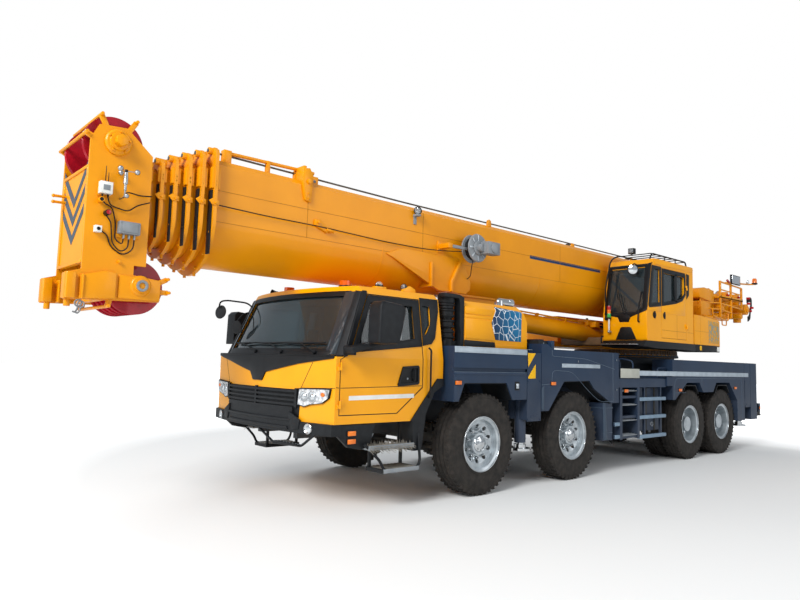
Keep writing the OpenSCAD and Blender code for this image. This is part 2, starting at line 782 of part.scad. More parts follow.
// Rear deck with its wheel arches, cross plates and bumper
deck_inner = ring_r + 80;
rack_rear = axle_3 - 960;
deck_front = axle_3 - 750;
module rear_deck()
    row() color(slate) {
        both_sides() {
            side_prism([[-deck_front, 1060], [-deck_front, deck_z], [-outrigger_rear + box_gap, deck_z],
                [-outrigger_rear + box_gap, 600], [-axle_4 - 670, 600], [-axle_4 - 670, 1000],
                [-axle_4 - 290, arch_z], [-axle_4 + 310, arch_z], [-axle_4 + 460, 1180], [-axle_3 - 460, 1180],
                [-axle_3 - 310, arch_z], [-axle_3 + 200, arch_z], [-axle_3 + 650, 1060]], deck_inner, half_width);
            block([-outrigger_rear - box_gap, deck_inner, tunnel_top],
                  [-outrigger_rear + box_gap, tunnel_y - 5, deck_z]);
            block([-frame_rear, deck_inner, 600], [-outrigger_rear - box_gap, half_width, deck_z]);
        }
        block([-frame_rear, -deck_inner, frame_high + seat_gap], [-axle_4 - 700, deck_inner, deck_z]);
        block([-rack_rear - 90, -deck_inner, frame_high + seat_gap], [-rack_rear - 10, deck_inner, deck_z - 300]);
        both_sides()
            block([-deck_front, deck_inner - 10, frame_high + seat_gap], [-rack_rear - 10, half_width, deck_z - 300]);
        block([-frame_rear - 610, -1250, 700], [-frame_rear - 510, 1250, 900]);
        both_sides() block([-frame_rear - 510, 350, 780], [-frame_rear - seat_gap, 430, 900]);
    }

// Side deck with the fuel tank, its guard bars and the ladder with its two cheeks
ladder_in = box2_rear + 70;
ladder_rear = -ladder_in - 610;
module ladder() {
    for (x = [ladder_rear, -ladder_in - 70])
        block([x, 1080, 480], [x + 70, 1380, 1421]);
    for (z = [490, 800, 1110])
        block([ladder_rear + 69, 1120, z], [-ladder_in - 69, 1360, z + 40]);
}

module tank_rack()
    row() color(metal) {
        both_sides() {
            block([-rack_rear, frame_y + seat_gap, frame_high - 20], [-box2_rear - seat_gap, 1380, 1420]);
            block([-rack_rear + 10, 560, 560], [ladder_rear, 1250, 1260]);
            for (x = [-rack_rear + 190, ladder_rear - 200])
                block([x - 40, 600, 1255], [x + 40, 1200, frame_high - 10]);
            for (z = [490, 800, 1090])
                block([-rack_rear, 1330, z - 25], [ladder_rear + 1, 1380, z + 25]);
            ladder();
            for (z = [530, 720])
                block([-ladder_in - 1, 1355, z - 25], [-ladder_in + 160, 1380, z + 25]);
            for (x = [-rack_rear + 90, ladder_rear - 250])
                block([x - 20, 1300, 470], [x + 20, 1335, frame_high - 10]);
        }
    }

// Outrigger beams, each with the outer tube of its jack
beam_in = 1060;
jack_top = 1510;
jack_low = 570;
plate_half = 148;
end_t = 12;
pad_gap = 0.5;
module outrigger_beam(back, side)
    row() color(slate) on_side(side) {
        difference() {
            union() {
                block([tunnel_x(back, side) - beam_w / 2, -beam_in, beam_z - beam_h / 2],
                      [tunnel_x(back, side) + beam_w / 2, half_width - end_t, beam_z + beam_h / 2]);
                block([tunnel_x(back, side) - beam_w / 2, -beam_in, beam_z - tunnel_h / 2 + pad_gap],
                      [tunnel_x(back, side) + beam_w / 2, -beam_in + 120, beam_z + tunnel_h / 2 - pad_gap]);
                block([-back - plate_half, half_width - end_t, beam_z - 165],
                      [-back + plate_half, half_width, deck_z]);
                bar_z(tunnel_x(back, side), jack_y, jack_r, jack_low, jack_top);
            }
            bar_z(tunnel_x(back, side), jack_y, jack_rod_r + pin_gap, jack_low - 1, jack_top - 20);
        }
    }

module beam_fl() outrigger_beam(outrigger_front, 1);
module beam_fr() outrigger_beam(outrigger_front, -1);
module beam_rl() outrigger_beam(outrigger_rear, 1);
module beam_rr() outrigger_beam(outrigger_rear, -1);

// Jack rods with their feet
foot_t = 30;
module jack(back, side)
    row() color(metal) on_side(side) {
        bar_z(tunnel_x(back, side), jack_y, jack_rod_r, foot_z + foot_t - 1, jack_top - 20 - move_gap);
        bar_z(tunnel_x(back, side), jack_y, foot_r, foot_z, foot_z + foot_t);
        bar_z(tunnel_x(back, side), jack_y, jack_rod_r + 25, foot_z + foot_t - 1, foot_z + 80);
    }

module jack_fl() jack(outrigger_front, 1);
module jack_fr() jack(outrigger_front, -1);
module jack_rl() jack(outrigger_rear, 1);
module jack_rr() jack(outrigger_rear, -1);

// Turntable: ring, base plate, two side plates, lift foot lugs, tail beams and covers
foot_half = 95;
lug_t = 50;
tail_y = 540;
module side_plate_outline(g)
    polygon([[-4700, table_z], [-4700, 2200], [-5400, 2420], [-7150, 2500], [-7700, 3180], [-7900, 3260],
        [-8300, 3260], [-9700, 3120], [-9700, 2820], [-8300, 2740], [-7300, table_z]]);

module turntable()
    row() color(yellow) {
        difference() {
            union() {
                both_sides() translate([0, plate_y + plate_t, 0]) rotate([90, 0, 0])
                    linear_extrude(plate_t) side_plate_outline(0);
                both_sides() bar_y(-pivot_back, pivot_z, pivot_r + 80, plate_y, plate_y + 90);
                block([-7200, -plate_y - plate_t, table_z], [-4750, plate_y + plate_t, table_z + 40]);
                bar_z(-slew_back, 0, ring_r, table_z - 160, table_z + 20);
                for (side = [-1, 1])
                    translate([0, side * (foot_half + lug_t / 2) + lug_t / 2, 0]) rotate([90, 0, 0])
                        linear_extrude(lug_t) polygon([[-lift_foot_back - 220, table_z + 30],
                            [-lift_foot_back - 120, lift_foot_z + 110], [-lift_foot_back + 120, lift_foot_z + 110],
                            [-lift_foot_back + 220, table_z + 30]]);
            }
            bar_y(-pivot_back, pivot_z, pivot_r + pin_gap, -900, 900);
            bar_y(-lift_foot_back, lift_foot_z, lift_pin_r + pin_gap, -400, 400);
            bar_z(-slew_back, 0, 300, table_z - 200, table_z + 100);
        }
        both_sides() block([-7000, op_inner + 30, op_low - 1], [-op_rear - 60, op_outer - 30, 2540]);
        mirror([0, 1, 0]) block([-op_rear - 60, op_inner + 30, op_low - 1], [-4400, op_outer - 60, 2540]);
        both_sides() block([-7000, plate_y + plate_t - 1, table_z], [-4200, op_outer - 60, op_low - seat_gap]);
        block([-rear_reach, -tail_y, 2850], [-9700, tail_y, 3090]);
        both_sides() block([-9000, plate_y + plate_t, 3100], [-7800, 1050, 3125]);
    }

// Winches between the tail beams
winch_r = 200;
module winch(back)
    difference() {
        union() {
            bar_y(-back, 3150, winch_r, -380, 380);
            for (y = [-400, 370])
                bar_y(-back, 3150, winch_r + 80, y, y + 30);
            bar_y(-back, 3150, 60, -plate_y + seat_gap, plate_y - seat_gap);
        }
    }

module winches()
    row() color("#8a8f94") {
        for (back = [8790, 9400])
            winch(back);
    }

// Operator's cab
module op_form(t)
    side_prism([[-op_front - 20 - t, op_low + t], [-op_front - t, op_low + 420], [-op_front - 160 - t, op_high - 130],
        [-op_front - 260 - t, op_high - t], [-op_rear + t, op_high - t], [-op_rear + t, op_low + t]],
        op_inner + t, op_outer - t);

op_door_front = 4560;
op_door_back = 5500;
module op_door_outline(g)
    side_prism([[-op_door_front - g, op_low + 60 + g], [-op_door_front - g, op_high - 130 - g],
        [-op_door_back + g, op_high - 130 - g], [-op_door_back + g, op_low + 60 + g]], op_outer - 100, op_outer + 50);

module op_side_window(y0, y1)
    side_prism([[-op_front - 130, op_low + 520], [-op_front - 220, op_high - 170], [-op_door_front + 70, op_high - 170],
        [-op_door_front + 70, op_low + 520]], y0, y1);

module op_inner_window(y0, y1)
    side_prism([[-op_front - 130, op_low + 520], [-op_front - 220, op_high - 170], [-op_rear + 100, op_high - 170],
        [-op_rear + 100, op_low + 520]], y0, y1);

module op_front_window(g)
    block([-op_front - 400, op_inner + 70 + g, op_low + 120 + g],
          [-op_front + 50, op_outer - 70 - g, op_high - 160 - g]);

op_hinge_x = -op_door_back + 6;
op_hinge_z = [op_low + 300, op_low + 1000];
module op_cab()
    row() color(yellow) {
        hinge_fixed(op_hinge_x, op_outer, op_hinge_z, -1);
        difference() {
            op_form(0);
            op_form(op_t);
            op_front_window(0);
            op_door_outline(0);
            op_side_window(op_outer - 60, op_outer + 50);
            op_inner_window(op_inner - 50, op_inner + 60);
        }
    }

module op_glass()
    row() color("#2a3640")
        intersection() {
            difference() {
                op_form(12);
                op_form(18);
            }
            union() {
                op_front_window(seat_gap);
                op_side_window(op_outer - 60, op_outer + 50);
                op_inner_window(op_inner - 50, op_inner + 60);
            }
        }

module op_door()
    row() color(yellow) {
        hinge_moving(op_hinge_x, op_outer, op_hinge_z, 1);
        intersection() {
            difference() {
                op_form(0);
                op_form(op_t);
                side_prism([[-op_door_front - 80, op_low + 520], [-op_door_front - 80, op_high - 210],
                    [-op_door_back + 80, op_high - 210], [-op_door_back + 80, op_low + 520]],
                    op_outer - 100, op_outer + 50);
            }
            op_door_outline(door_gap);
        }
    }

// Boom sections: a round belly under straight sides, set in by i steps
sections = 6;
section_rear = 7150;
function step_in(i) = i * boom_step;
belly_z = boom_low + boom_y;
corner_r = 90;

// Outline of a section in the front view, set in by s
module boom_outline(s) {
    translate([0, belly_z]) circle(r = boom_y - s, $fn = 96);
    difference() {
        translate([-boom_y + s, belly_z]) square([2 * (boom_y - s), boom_high - s - belly_z]);
        for (side = [-1, 1])
            translate([side * (boom_y - s), boom_high - s]) rotate(45) square(corner_r, center = true);
    }
}

// A run of boom wall from x0 to x1
module boom_tube(s, t, x0, x1)
    translate([x0, 0, 0]) rotate([90, 0, 90]) linear_extrude(x1 - x0) difference() {
        boom_outline(s);
        boom_outline(s + t);
    }

// A collar plate round a section
module collar(s, inner, x)
    translate([x, 0, 0]) rotate([90, 0, 90]) linear_extrude(collar_t) difference() {
        boom_outline(s - collar_h + s * 0.25);
        boom_outline(inner);
    }

function collar_x(i) = boom_front + 12 + i * collar_pitch;

module boom_1()
    row() color(yellow) {
        difference() {
            union() {
                boom_tube(0, boom_t, -section_rear, boom_front + 12);
                collar(0, step_in(1) - move_gap, collar_x(0));
                both_sides() side_prism([[-section_rear + 10, boom_low + 300], [-section_rear + 10, boom_high - 60],
                    [-pivot_back - 60, pivot_z + 190], [-pivot_back - 190, pivot_z], [-pivot_back - 60, pivot_z - 190]],
                    boom_y - 60, boom_y);
                both_sides() side_prism([[-lift_eye_back - 230, boom_low + 120], [-lift_eye_back - 200, lift_eye_z - 60],
                    [-lift_eye_back, lift_eye_z - 130], [-lift_eye_back + 200, lift_eye_z - 60],
                    [-lift_eye_back + 700, boom_low + 120]], 130, 180);
            }
            bar_y(-pivot_back, pivot_z, pivot_r + pin_gap, -900, 900);
            bar_y(-lift_eye_back, lift_eye_z, lift_pin_r + pin_gap, -900, 900);
            translate([0, 0, 0]) rotate([90, 0, 90]) translate([0, 0, -section_rear + 11])
                linear_extrude(section_rear) boom_outline(boom_t);
        }
        bar_y(-pivot_back, pivot_z, pivot_r, -plate_y - 120, plate_y + 120);
    }

// A slide pad at the rear of a section fills the gap to the section round it
function section_x(i) = -section_rear + 150 + i * 60;
function collar_bore(i) = i < sections - 1 ? step_in(i + 1) - move_gap : step_in(i) + boom_t;

module boom_section(i)
    row() color(yellow) {
        boom_tube(step_in(i), boom_t, section_x(i), collar_x(i));
        boom_tube(step_in(i - 1) + boom_t + pad_gap, boom_step - pad_gap, section_x(i), section_x(i) + 120);
        collar(step_in(i), collar_bore(i), collar_x(i));
    }

module boom_2() boom_section(1);
module boom_3() boom_section(2);
module boom_4() boom_section(3);
module boom_5() boom_section(4);

// Sixth section with the boom head: two side plates that hold both sheave pins
module boom_6() {
    boom_section(5);
    row() color(yellow) {
        difference() {
            both_sides() side_prism([[collar_x(5) + collar_t - 1, 2420], [3960, 2420], [3960, 2330],
                [3700, 2300], [3700, 2090], [front_reach, 2060], [front_reach, 2300], [4420, 2340],
                [4420, 3560], [4350, 3700], [4100, 3720], [collar_x(5) + collar_t - 1, 3500]],
                head_y - head_t, head_y);
            bar_y(head_pin_x, head_pin_z, 50, -900, 900);
            bar_y(low_pin_x, low_pin_z, 50, -900, 900);
        }
        block([4380, -head_y + 5, 2400], [4410, head_y - 5, 3300]);
        block([collar_x(5) + collar_t - 1, -head_y + 5, 2510], [collar_x(5) + collar_t + 30, head_y - 5, 3260]);
    }
}

// Head sheaves: grooved discs on a shaft
module sheaves(x, z, r, count, pitch) {
    for (i = [0:count - 1])
        translate([x, (i - (count - 1) / 2) * pitch, z]) rotate([90, 0, 0])
            rotate_extrude($fn = 96) polygon([[40, -28], [r, -28], [r - 25, -6], [r - 25, 6], [r, 28], [40, 28]]);
    bar_y(x, z, 49.9, -head_y + 5, head_y - 5);
}

module sheave_upper()
    row() color("#9e0b1e") sheaves(head_pin_x, head_pin_z, sheave_r, 2, 560);

module sheave_lower()
    row() color("#9e0b1e") sheaves(low_pin_x, low_pin_z, sheave_r - 10, 5, 130);

// Lift cylinder, drawn along its own axis from the foot pin
lift_dx = lift_foot_back - lift_eye_back;
lift_dz = lift_eye_z - lift_foot_z;
lift_len = sqrt(lift_dx * lift_dx + lift_dz * lift_dz);
lift_tilt = atan2(lift_dz, lift_dx);
barrel_len = lift_len - 400;

module along_lift()
    translate([-lift_foot_back, 0, lift_foot_z]) rotate([0, -lift_tilt, 0]) children();

module lift_barrel()
    row() color(yellow) along_lift() {
        difference() {
            union() {
                bar_x(0, 0, barrel_r, 230, barrel_len);
                bar_y(0, 0, 160, -foot_half + move_gap, foot_half - move_gap);
                block([0, -foot_half + move_gap, -110], [260, foot_half - move_gap, 110]);
            }
            bar_x(0, 0, rod_r + pin_gap, 330, barrel_len + 1);
            bar_y(0, 0, lift_pin_r + pin_gap, -300, 300);
        }
        bar_y(0, 0, lift_pin_r, -foot_half - lug_t, foot_half + lug_t);
    }

module lift_rod()
    row() color(metal) along_lift()
        difference() {
            union() {
                bar_x(0, 0, rod_r, 330 + move_gap, lift_len - 100);
                bar_y(lift_len, 0, 130, -120, 120);
            }
            bar_y(lift_len, 0, lift_pin_r + 2, -300, 300);
        }

chassis();
axles();
cab_shell();
cab_glass();
cab_interior();
cab_trim();
lamps();
door_left();
door_right();
mirror_left();
mirror_right();
hood();
engine();
side_boxes();
rear_deck();
tank_rack();
beam_fl();
beam_fr();
beam_rl();
beam_rr();
jack_fl();
jack_fr();
jack_rl();
jack_rr();
knuckle_1l();
knuckle_1r();
knuckle_2l();
knuckle_2r();
tyre_1l();
tyre_1r();
tyre_2l();
tyre_2r();
tyre_3l();
tyre_3r();
tyre_4l();
tyre_4r();
wheel_1l();
wheel_1r();
wheel_2l();
wheel_2r();
wheel_3l();
wheel_3r();
wheel_4l();
wheel_4r();
turntable();
op_cab();
op_glass();
op_door();
winches();
boom_1();
boom_2();
boom_3();
boom_4();
boom_5();
boom_6();
sheave_upper();
sheave_lower();
lift_barrel();
lift_rod();
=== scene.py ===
"""The looks of a four-axle truck crane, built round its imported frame.

Lengths are metres. X runs to the crane's front, Y to its left and Z up. Places along X are given
from the first axle, as in the part's source, and AXLE_1 moves them into the frame.
"""

import math

import bpy
from mathutils import Matrix, Vector
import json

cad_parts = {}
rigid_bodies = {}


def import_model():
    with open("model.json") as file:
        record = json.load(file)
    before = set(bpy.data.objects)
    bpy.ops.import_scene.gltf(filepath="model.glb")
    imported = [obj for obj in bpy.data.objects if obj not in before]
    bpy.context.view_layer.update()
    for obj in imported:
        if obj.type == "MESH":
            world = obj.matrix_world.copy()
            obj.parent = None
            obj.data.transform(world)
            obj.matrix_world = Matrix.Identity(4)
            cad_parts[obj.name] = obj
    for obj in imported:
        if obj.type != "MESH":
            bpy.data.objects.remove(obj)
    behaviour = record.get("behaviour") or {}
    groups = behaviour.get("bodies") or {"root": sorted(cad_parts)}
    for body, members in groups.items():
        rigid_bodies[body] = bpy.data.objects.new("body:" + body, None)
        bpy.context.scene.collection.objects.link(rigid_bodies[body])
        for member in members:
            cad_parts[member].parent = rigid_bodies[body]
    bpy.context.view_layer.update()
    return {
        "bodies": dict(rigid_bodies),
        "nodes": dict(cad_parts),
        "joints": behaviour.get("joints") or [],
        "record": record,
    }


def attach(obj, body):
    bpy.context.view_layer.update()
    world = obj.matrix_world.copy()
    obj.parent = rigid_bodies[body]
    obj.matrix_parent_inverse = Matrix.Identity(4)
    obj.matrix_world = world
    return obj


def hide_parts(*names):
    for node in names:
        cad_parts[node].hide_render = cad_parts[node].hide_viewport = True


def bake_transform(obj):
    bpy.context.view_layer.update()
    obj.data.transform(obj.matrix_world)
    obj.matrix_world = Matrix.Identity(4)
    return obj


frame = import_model()
NODES = frame["nodes"]
AXLE_1 = 2.65


def at(x, y, z):
    """A point whose x is measured from the first axle."""
    return Vector((x + AXLE_1, y, z))


# Camera and stage

CAMERA_PLACE = at(6.144, 6.661, 1.59)
CAMERA_YAW, CAMERA_PITCH, CAMERA_ROLL = (math.radians(a) for a in (228.24, 5.38, 1.62))
CAMERA_FOCUS_PX, PHOTO_WIDTH_PX, SENSOR_MM = 650.7, 800, 36.0


def make_camera():
    """Stands the camera where the photo was taken from."""
    look = Vector((math.cos(CAMERA_YAW) * math.cos(CAMERA_PITCH),
                   math.sin(CAMERA_YAW) * math.cos(CAMERA_PITCH), math.sin(CAMERA_PITCH)))
    right = look.cross(Vector((0, 0, 1))).normalized()
    up = right.cross(look)
    cos_r, sin_r = math.cos(CAMERA_ROLL), math.sin(CAMERA_ROLL)
    image_x = right * cos_r + up * sin_r
    image_y = up * cos_r - right * sin_r
    data = bpy.data.cameras.new("photo_camera")
    data.sensor_width = SENSOR_MM
    data.lens = SENSOR_MM * CAMERA_FOCUS_PX / PHOTO_WIDTH_PX
    data.clip_end = 500
    camera = bpy.data.objects.new("photo_camera", data)
    turn = Matrix((image_x, image_y, -look)).transposed().to_4x4()
    camera.matrix_world = Matrix.Translation(CAMERA_PLACE) @ turn
    bpy.context.scene.collection.objects.link(camera)
    bpy.context.scene.camera = camera


def linear(hex_colour, alpha=1.0):
    """An sRGB hex colour as the linear values that a shader takes."""
    parts = [int(hex_colour[i:i + 2], 16) / 255 for i in (1, 3, 5)]
    return tuple(c / 12.92 if c <= 0.04045 else ((c + 0.055) / 1.055) ** 2.4 for c in parts) + (alpha,)


def add_node(material, kind, settings=None, **links):
    """Adds one shader node. Settings are attributes or input names, links are input name and socket."""
    tree = material.node_tree
    node = tree.nodes.new(kind)
    for key, value in (settings or {}).items():
        if hasattr(node, key):
            setattr(node, key, value)
        else:
            node.inputs[key].default_value = value
    for key, socket in links.items():
        tree.links.new(socket, node.inputs[key.replace("_", " ")])
    return node


def make_world_and_floor():
    """White surroundings for the camera, a softer sky for the light, and a pale floor."""
    world = bpy.data.worlds.new("studio")
    bpy.context.scene.world = world
    world.use_nodes = True
    tree = world.node_tree
    tree.nodes.clear()
    out = tree.nodes.new("ShaderNodeOutputWorld")
    mix = tree.nodes.new("ShaderNodeMixShader")
    soft = tree.nodes.new("ShaderNodeBackground")
    white = tree.nodes.new("ShaderNodeBackground")
    path = tree.nodes.new("ShaderNodeLightPath")
    seen = tree.nodes.new("ShaderNodeMath")
    seen.operation = "MAXIMUM"
    soft.inputs["Color"].default_value = linear("#dfe6ee")
    soft.inputs["Strength"].default_value = 0.55
    white.inputs["Color"].default_value = (1, 1, 1, 1)
    tree.links.new(path.outputs["Is Camera Ray"], seen.inputs[0])
    tree.links.new(path.outputs["Is Transmission Ray"], seen.inputs[1])
    tree.links.new(seen.outputs[0], mix.inputs[0])
    tree.links.new(soft.outputs[0], mix.inputs[1])
    tree.links.new(white.outputs[0], mix.inputs[2])
    tree.links.new(mix.outputs[0], out.inputs[0])
    bpy.ops.mesh.primitive_plane_add(size=160)
    floor = bpy.context.object
    floor.name = "studio_floor"
    material = bpy.data.materials.new("pale_floor")
    material.use_nodes = True
    shader = material.node_tree.nodes["Principled BSDF"]
    shader.inputs["Base Color"].default_value = linear("#f2f2f0")
    shader.inputs["Roughness"].default_value = 0.9
    # Far from the crane the floor turns as white as the sky, so that no horizon shows
    place = add_node(material, "ShaderNodeTexCoord")
    far = add_node(material, "ShaderNodeVectorMath", {"operation": "LENGTH"})
    material.node_tree.links.new(place.outputs["Object"], far.inputs[0])
    fade = add_node(material, "ShaderNodeMapRange", {"From Min": 6.5, "From Max": 11.0}, Value=far.outputs["Value"])
    material.node_tree.links.new(fade.outputs["Result"], shader.inputs["Emission Strength"])
    shader.inputs["Emission Color"].default_value = (1, 1, 1, 1)
    seen = add_node(material, "ShaderNodeLightPath")
    glow = add_node(material, "ShaderNodeMath", {"operation": "MULTIPLY"})
    material.node_tree.links.new(seen.outputs["Is Camera Ray"], glow.inputs[0])
    material.node_tree.links.new(fade.outputs["Result"], glow.inputs[1])
    material.node_tree.links.new(glow.outputs[0], shader.inputs["Emission Strength"])
    floor.data.materials.append(material)


LAMPS = [
    # name, place, aimed at, size, power
    ("key", (20, 7, 13), (0, 0, 1.5), 7.0, 3900),
    ("fill", (-6, 18, 8), (-2, 0, 1.5), 12.0, 800),
    ("front", (18, -6, 6), (3, 0, 2.0), 8.0, 450),
    ("back", (-12, -14, 12), (0, 0, 2.0), 12.0, 1500),
]


def make_lamps():
    """Four wide soft lamps round the crane."""
    for name, place, aim, size, power in LAMPS:
        data = bpy.data.lights.new(name, "AREA")
        data.size = size
        data.energy = power
        lamp = bpy.data.objects.new(name, data)
        lamp.location = place
        lamp.rotation_euler = (Vector(aim) - Vector(place)).to_track_quat("-Z", "Y").to_euler()
        bpy.context.scene.collection.objects.link(lamp)


# Materials

MATERIALS = {}


def start_material(name, colour, roughness, metallic=0.0):
    """A material with one shader, its colour and its gloss set."""
    material = bpy.data.materials.new(name)
    material.use_nodes = True
    shader = material.node_tree.nodes["Principled BSDF"]
    shader.inputs["Base Color"].default_value = linear(colour)
    shader.inputs["Roughness"].default_value = roughness
    shader.inputs["Metallic"].default_value = metallic
    shader.inputs["Specular IOR Level"].default_value = 0.5 if metallic else 0.25
    MATERIALS[name] = material
    return material, shader


def mottle(material, shader, colour, other, scale, low=0.35, high=0.75, detail=4.0):
    """Varies a colour in soft patches, with scale patches in each metre."""
    place = add_node(material, "ShaderNodeTexCoord")
    noise = add_node(material, "ShaderNodeTexNoise", {"Scale": scale, "Detail": detail},
                     Vector=place.outputs["Object"])
    ramp = add_node(material, "ShaderNodeValToRGB", None, Fac=noise.outputs["Fac"])
    ramp.color_ramp.elements[0].position = low
    ramp.color_ramp.elements[1].position = high
    ramp.color_ramp.elements[0].color = linear(colour)
    ramp.color_ramp.elements[1].color = linear(other)
    material.node_tree.links.new(ramp.outputs["Color"], shader.inputs["Base Color"])
    return place, noise, ramp


def fine_bump(material, shader, scale, strength, distance=0.002):
    """Small relief, with scale bumps in each metre."""
    place = add_node(material, "ShaderNodeTexCoord")
    noise = add_node(material, "ShaderNodeTexNoise", {"Scale": scale, "Detail": 3.0},
                     Vector=place.outputs["Object"])
    bump = add_node(material, "ShaderNodeBump", {"Strength": strength, "Distance": distance},
                    Height=noise.outputs["Fac"])
    material.node_tree.links.new(bump.outputs["Normal"], shader.inputs["Normal"])


def dust_below(material, shader, ramp, dust, top, amount):
    """Lays road dust over a mottled colour, thinning out up to the height top."""
    place = add_node(material, "ShaderNodeTexCoord")
    split = add_node(material, "ShaderNodeSeparateXYZ", None, Vector=place.outputs["Object"])
    fade = add_node(material, "ShaderNodeMapRange",
                    {"From Min": 0.0, "From Max": top, "To Min": amount, "To Max": 0.0}, Value=split.outputs["Z"])
    patch = add_node(material, "ShaderNodeTexNoise", {"Scale": 3.5, "Detail": 6.0}, Vector=place.outputs["Object"])
    both = add_node(material, "ShaderNodeMath", {"operation": "MULTIPLY"})
    material.node_tree.links.new(fade.outputs["Result"], both.inputs[0])
    material.node_tree.links.new(patch.outputs["Fac"], both.inputs[1])
    mix = add_node(material, "ShaderNodeMixRGB", None, Fac=both.outputs[0], Color1=ramp.outputs["Color"])
    mix.inputs["Color2"].default_value = linear(dust)
    material.node_tree.links.new(mix.outputs["Color"], shader.inputs["Base Color"])


def make_paint(name, colour, darker, roughness, dusty=0.0, coat=0.14):
    """Sprayed two-layer enamel: even colour, a clear coat's gloss and a faint orange peel."""
    material, shader = start_material(name, colour, roughness)
    ramp = mottle(material, shader, colour, darker, 1.7)[2]
    if dusty:
        dust_below(material, shader, ramp, "#8d8372", 2.0, dusty)
    shader.inputs["Coat Weight"].default_value = coat
    shader.inputs["Coat Roughness"].default_value = 0.1
    fine_bump(material, shader, 220, 0.05)


def make_materials():
    """Every finish of the crane, named for what it is."""
    # Sprayed yellow enamel on cabs and covers: warm, glossy, nearly even
    make_paint("cab_enamel", "#f5a600", "#ec9c00", 0.3, 0.12)
    # The boom's enamel is deeper and a little duller
    make_paint("boom_enamel", "#e89600", "#dc8c00", 0.36)
    # Slate enamel on frame, boxes and deck, dusty towards the road
    make_paint("slate_enamel", "#0f2842", "#15304c", 0.45, 0.3, 0.08)
    make_paint("frame_enamel", "#131e2a", "#1a2836", 0.5, 0.5, 0.05)
    # Pressed aluminium trim strips: pale, satin, faintly streaked
    material, shader = start_material("satin_aluminium", "#b9bec2", 0.34, 1.0)
    mottle(material, shader, "#b9bec2", "#a3a9ae", 9.0)
    # Forged and machined aluminium wheel: bright satin with brake dust in patches
    material, shader = start_material("forged_wheel", "#c2c9cd", 0.34, 0.65)
    mottle(material, shader, "#c6cdd1", "#9aa2a7", 7.0)
    fine_bump(material, shader, 300, 0.08)
    # Hard chromed rod: mirror bright
    material, shader = start_material("hard_chrome", "#c9ccce", 0.12, 1.0)
    mottle(material, shader, "#c9ccce", "#b8bcbf", 4.0)
    # Tyre rubber: near black, matt, brown with dust
    material, shader = start_material("tyre_rubber", "#2b2826", 0.82)
    mottle(material, shader, "#262422", "#3a3531", 11.0)
    fine_bump(material, shader, 150, 0.25)
    # Moulded black plastic: fine grain, low gloss
    material, shader = start_material("grained_plastic", "#15171a", 0.5)
    mottle(material, shader, "#131518", "#1c1f22", 14.0)
    fine_bump(material, shader, 700, 0.15, 0.0008)
    # Black hose rubber: smooth and dull
    material, shader = start_material("hose_rubber", "#111214", 0.55)
    mottle(material, shader, "#101113", "#1a1b1d", 20.0)
    # Seat and dash cloth and vinyl: warm grey
    material, shader = start_material("cab_vinyl", "#2e2f31", 0.7)
    mottle(material, shader, "#2b2c2e", "#3a3b3c", 18.0)
    fine_bump(material, shader, 500, 0.3, 0.001)
    # Black painted castings under the frame, dusty
    material, shader = start_material("axle_black", "#202225", 0.62)
    mottle(material, shader, "#1d1f22", "#4a453c", 6.0)
    # Bare cast iron of the engine
    material, shader = start_material("cast_iron", "#55585a", 0.6, 0.6)
    mottle(material, shader, "#55585a", "#3c3f41", 12.0)
    # Dark red enamel on the sheaves
    material, shader = start_material("sheave_red", "#a30d20", 0.35)
    mottle(material, shader, "#a80e22", "#8a0a1a", 5.0)
    shader.inputs["Coat Weight"].default_value = 0.3
    # Tinted safety glass
    material, shader = start_material("tinted_glass", "#5f7076", 0.03)
    shader.inputs["Transmission Weight"].default_value = 0.85
    shader.inputs["Specular IOR Level"].default_value = 0.5
    shader.inputs["IOR"].default_value = 1.5
    mottle(material, shader, "#56666c", "#61737a", 1.0)
    # Screen printed rim of the windscreen: dark glass that lets nothing through
    material, shader = start_material("dark_glass", "#2b3136", 0.06)
    shader.inputs["Specular IOR Level"].default_value = 0.5
    mottle(material, shader, "#2a3035", "#363d42", 1.2)
    # Clear lamp glass
    material, shader = start_material("lamp_glass", "#e9eef2", 0.04)
    shader.inputs["Transmission Weight"].default_value = 0.8
    mottle(material, shader, "#e9eef2", "#dde4ea", 6.0)
    # Polished lamp reflector
    material, shader = start_material("lamp_reflector", "#dfe3e6", 0.15, 1.0)
    mottle(material, shader, "#dfe3e6", "#c8ced2", 30.0)
    # seam_shade is a darker yellow laid along welds and seams on yellow parts: painted shade of the grooves there
    for name, colour, darker in (("amber_lens", "#f07a08", "#d96500"), ("red_lens", "#b5121b", "#8e0c14"),
                                 ("green_lens", "#3fae4e", "#2f8f3e"), ("white_enamel", "#e8e8e4", "#d8d8d2"),
                                 ("stripe_blue", "#103a63", "#0d3154"), ("cell_blue", "#0e5c8c", "#0a4d78"),
                                 ("warning_yellow", "#f2b800", "#e0a800"), ("matt_black", "#0e0f11", "#15171a"),
                                 ("zinc_grey", "#8b9094", "#787d81"), ("brush_grey", "#8f8a80", "#6f6a60"),
                                 ("stripe_slate", "#44505c", "#3a4652"), ("seam_shade", "#b87a00", "#a86e00"),
                                 ("rope_steel", "#5b5a56", "#46443f"), ("strip_silver", "#aeb9c2", "#9aa6b0"),
                                 ("pale_patch", "#b9b9ae", "#a8a89c"), ("seam_grey", "#5d6b7a", "#4b5a69"),
                                 ("slate_light", "#3e4c5c", "#354353"), ("guard_grey", "#7d93a6", "#6c8294"),
                                 ("ring_brown", "#6a5138", "#54402c"), ("red_fitting", "#c4141c", "#a01016")):
        material, shader = start_material(name, colour, 0.3 if "lens" in name else 0.45)
        mottle(material, shader, colour, darker, 8.0)
        if "lens" in name:
            shader.inputs["Coat Weight"].default_value = 0.8


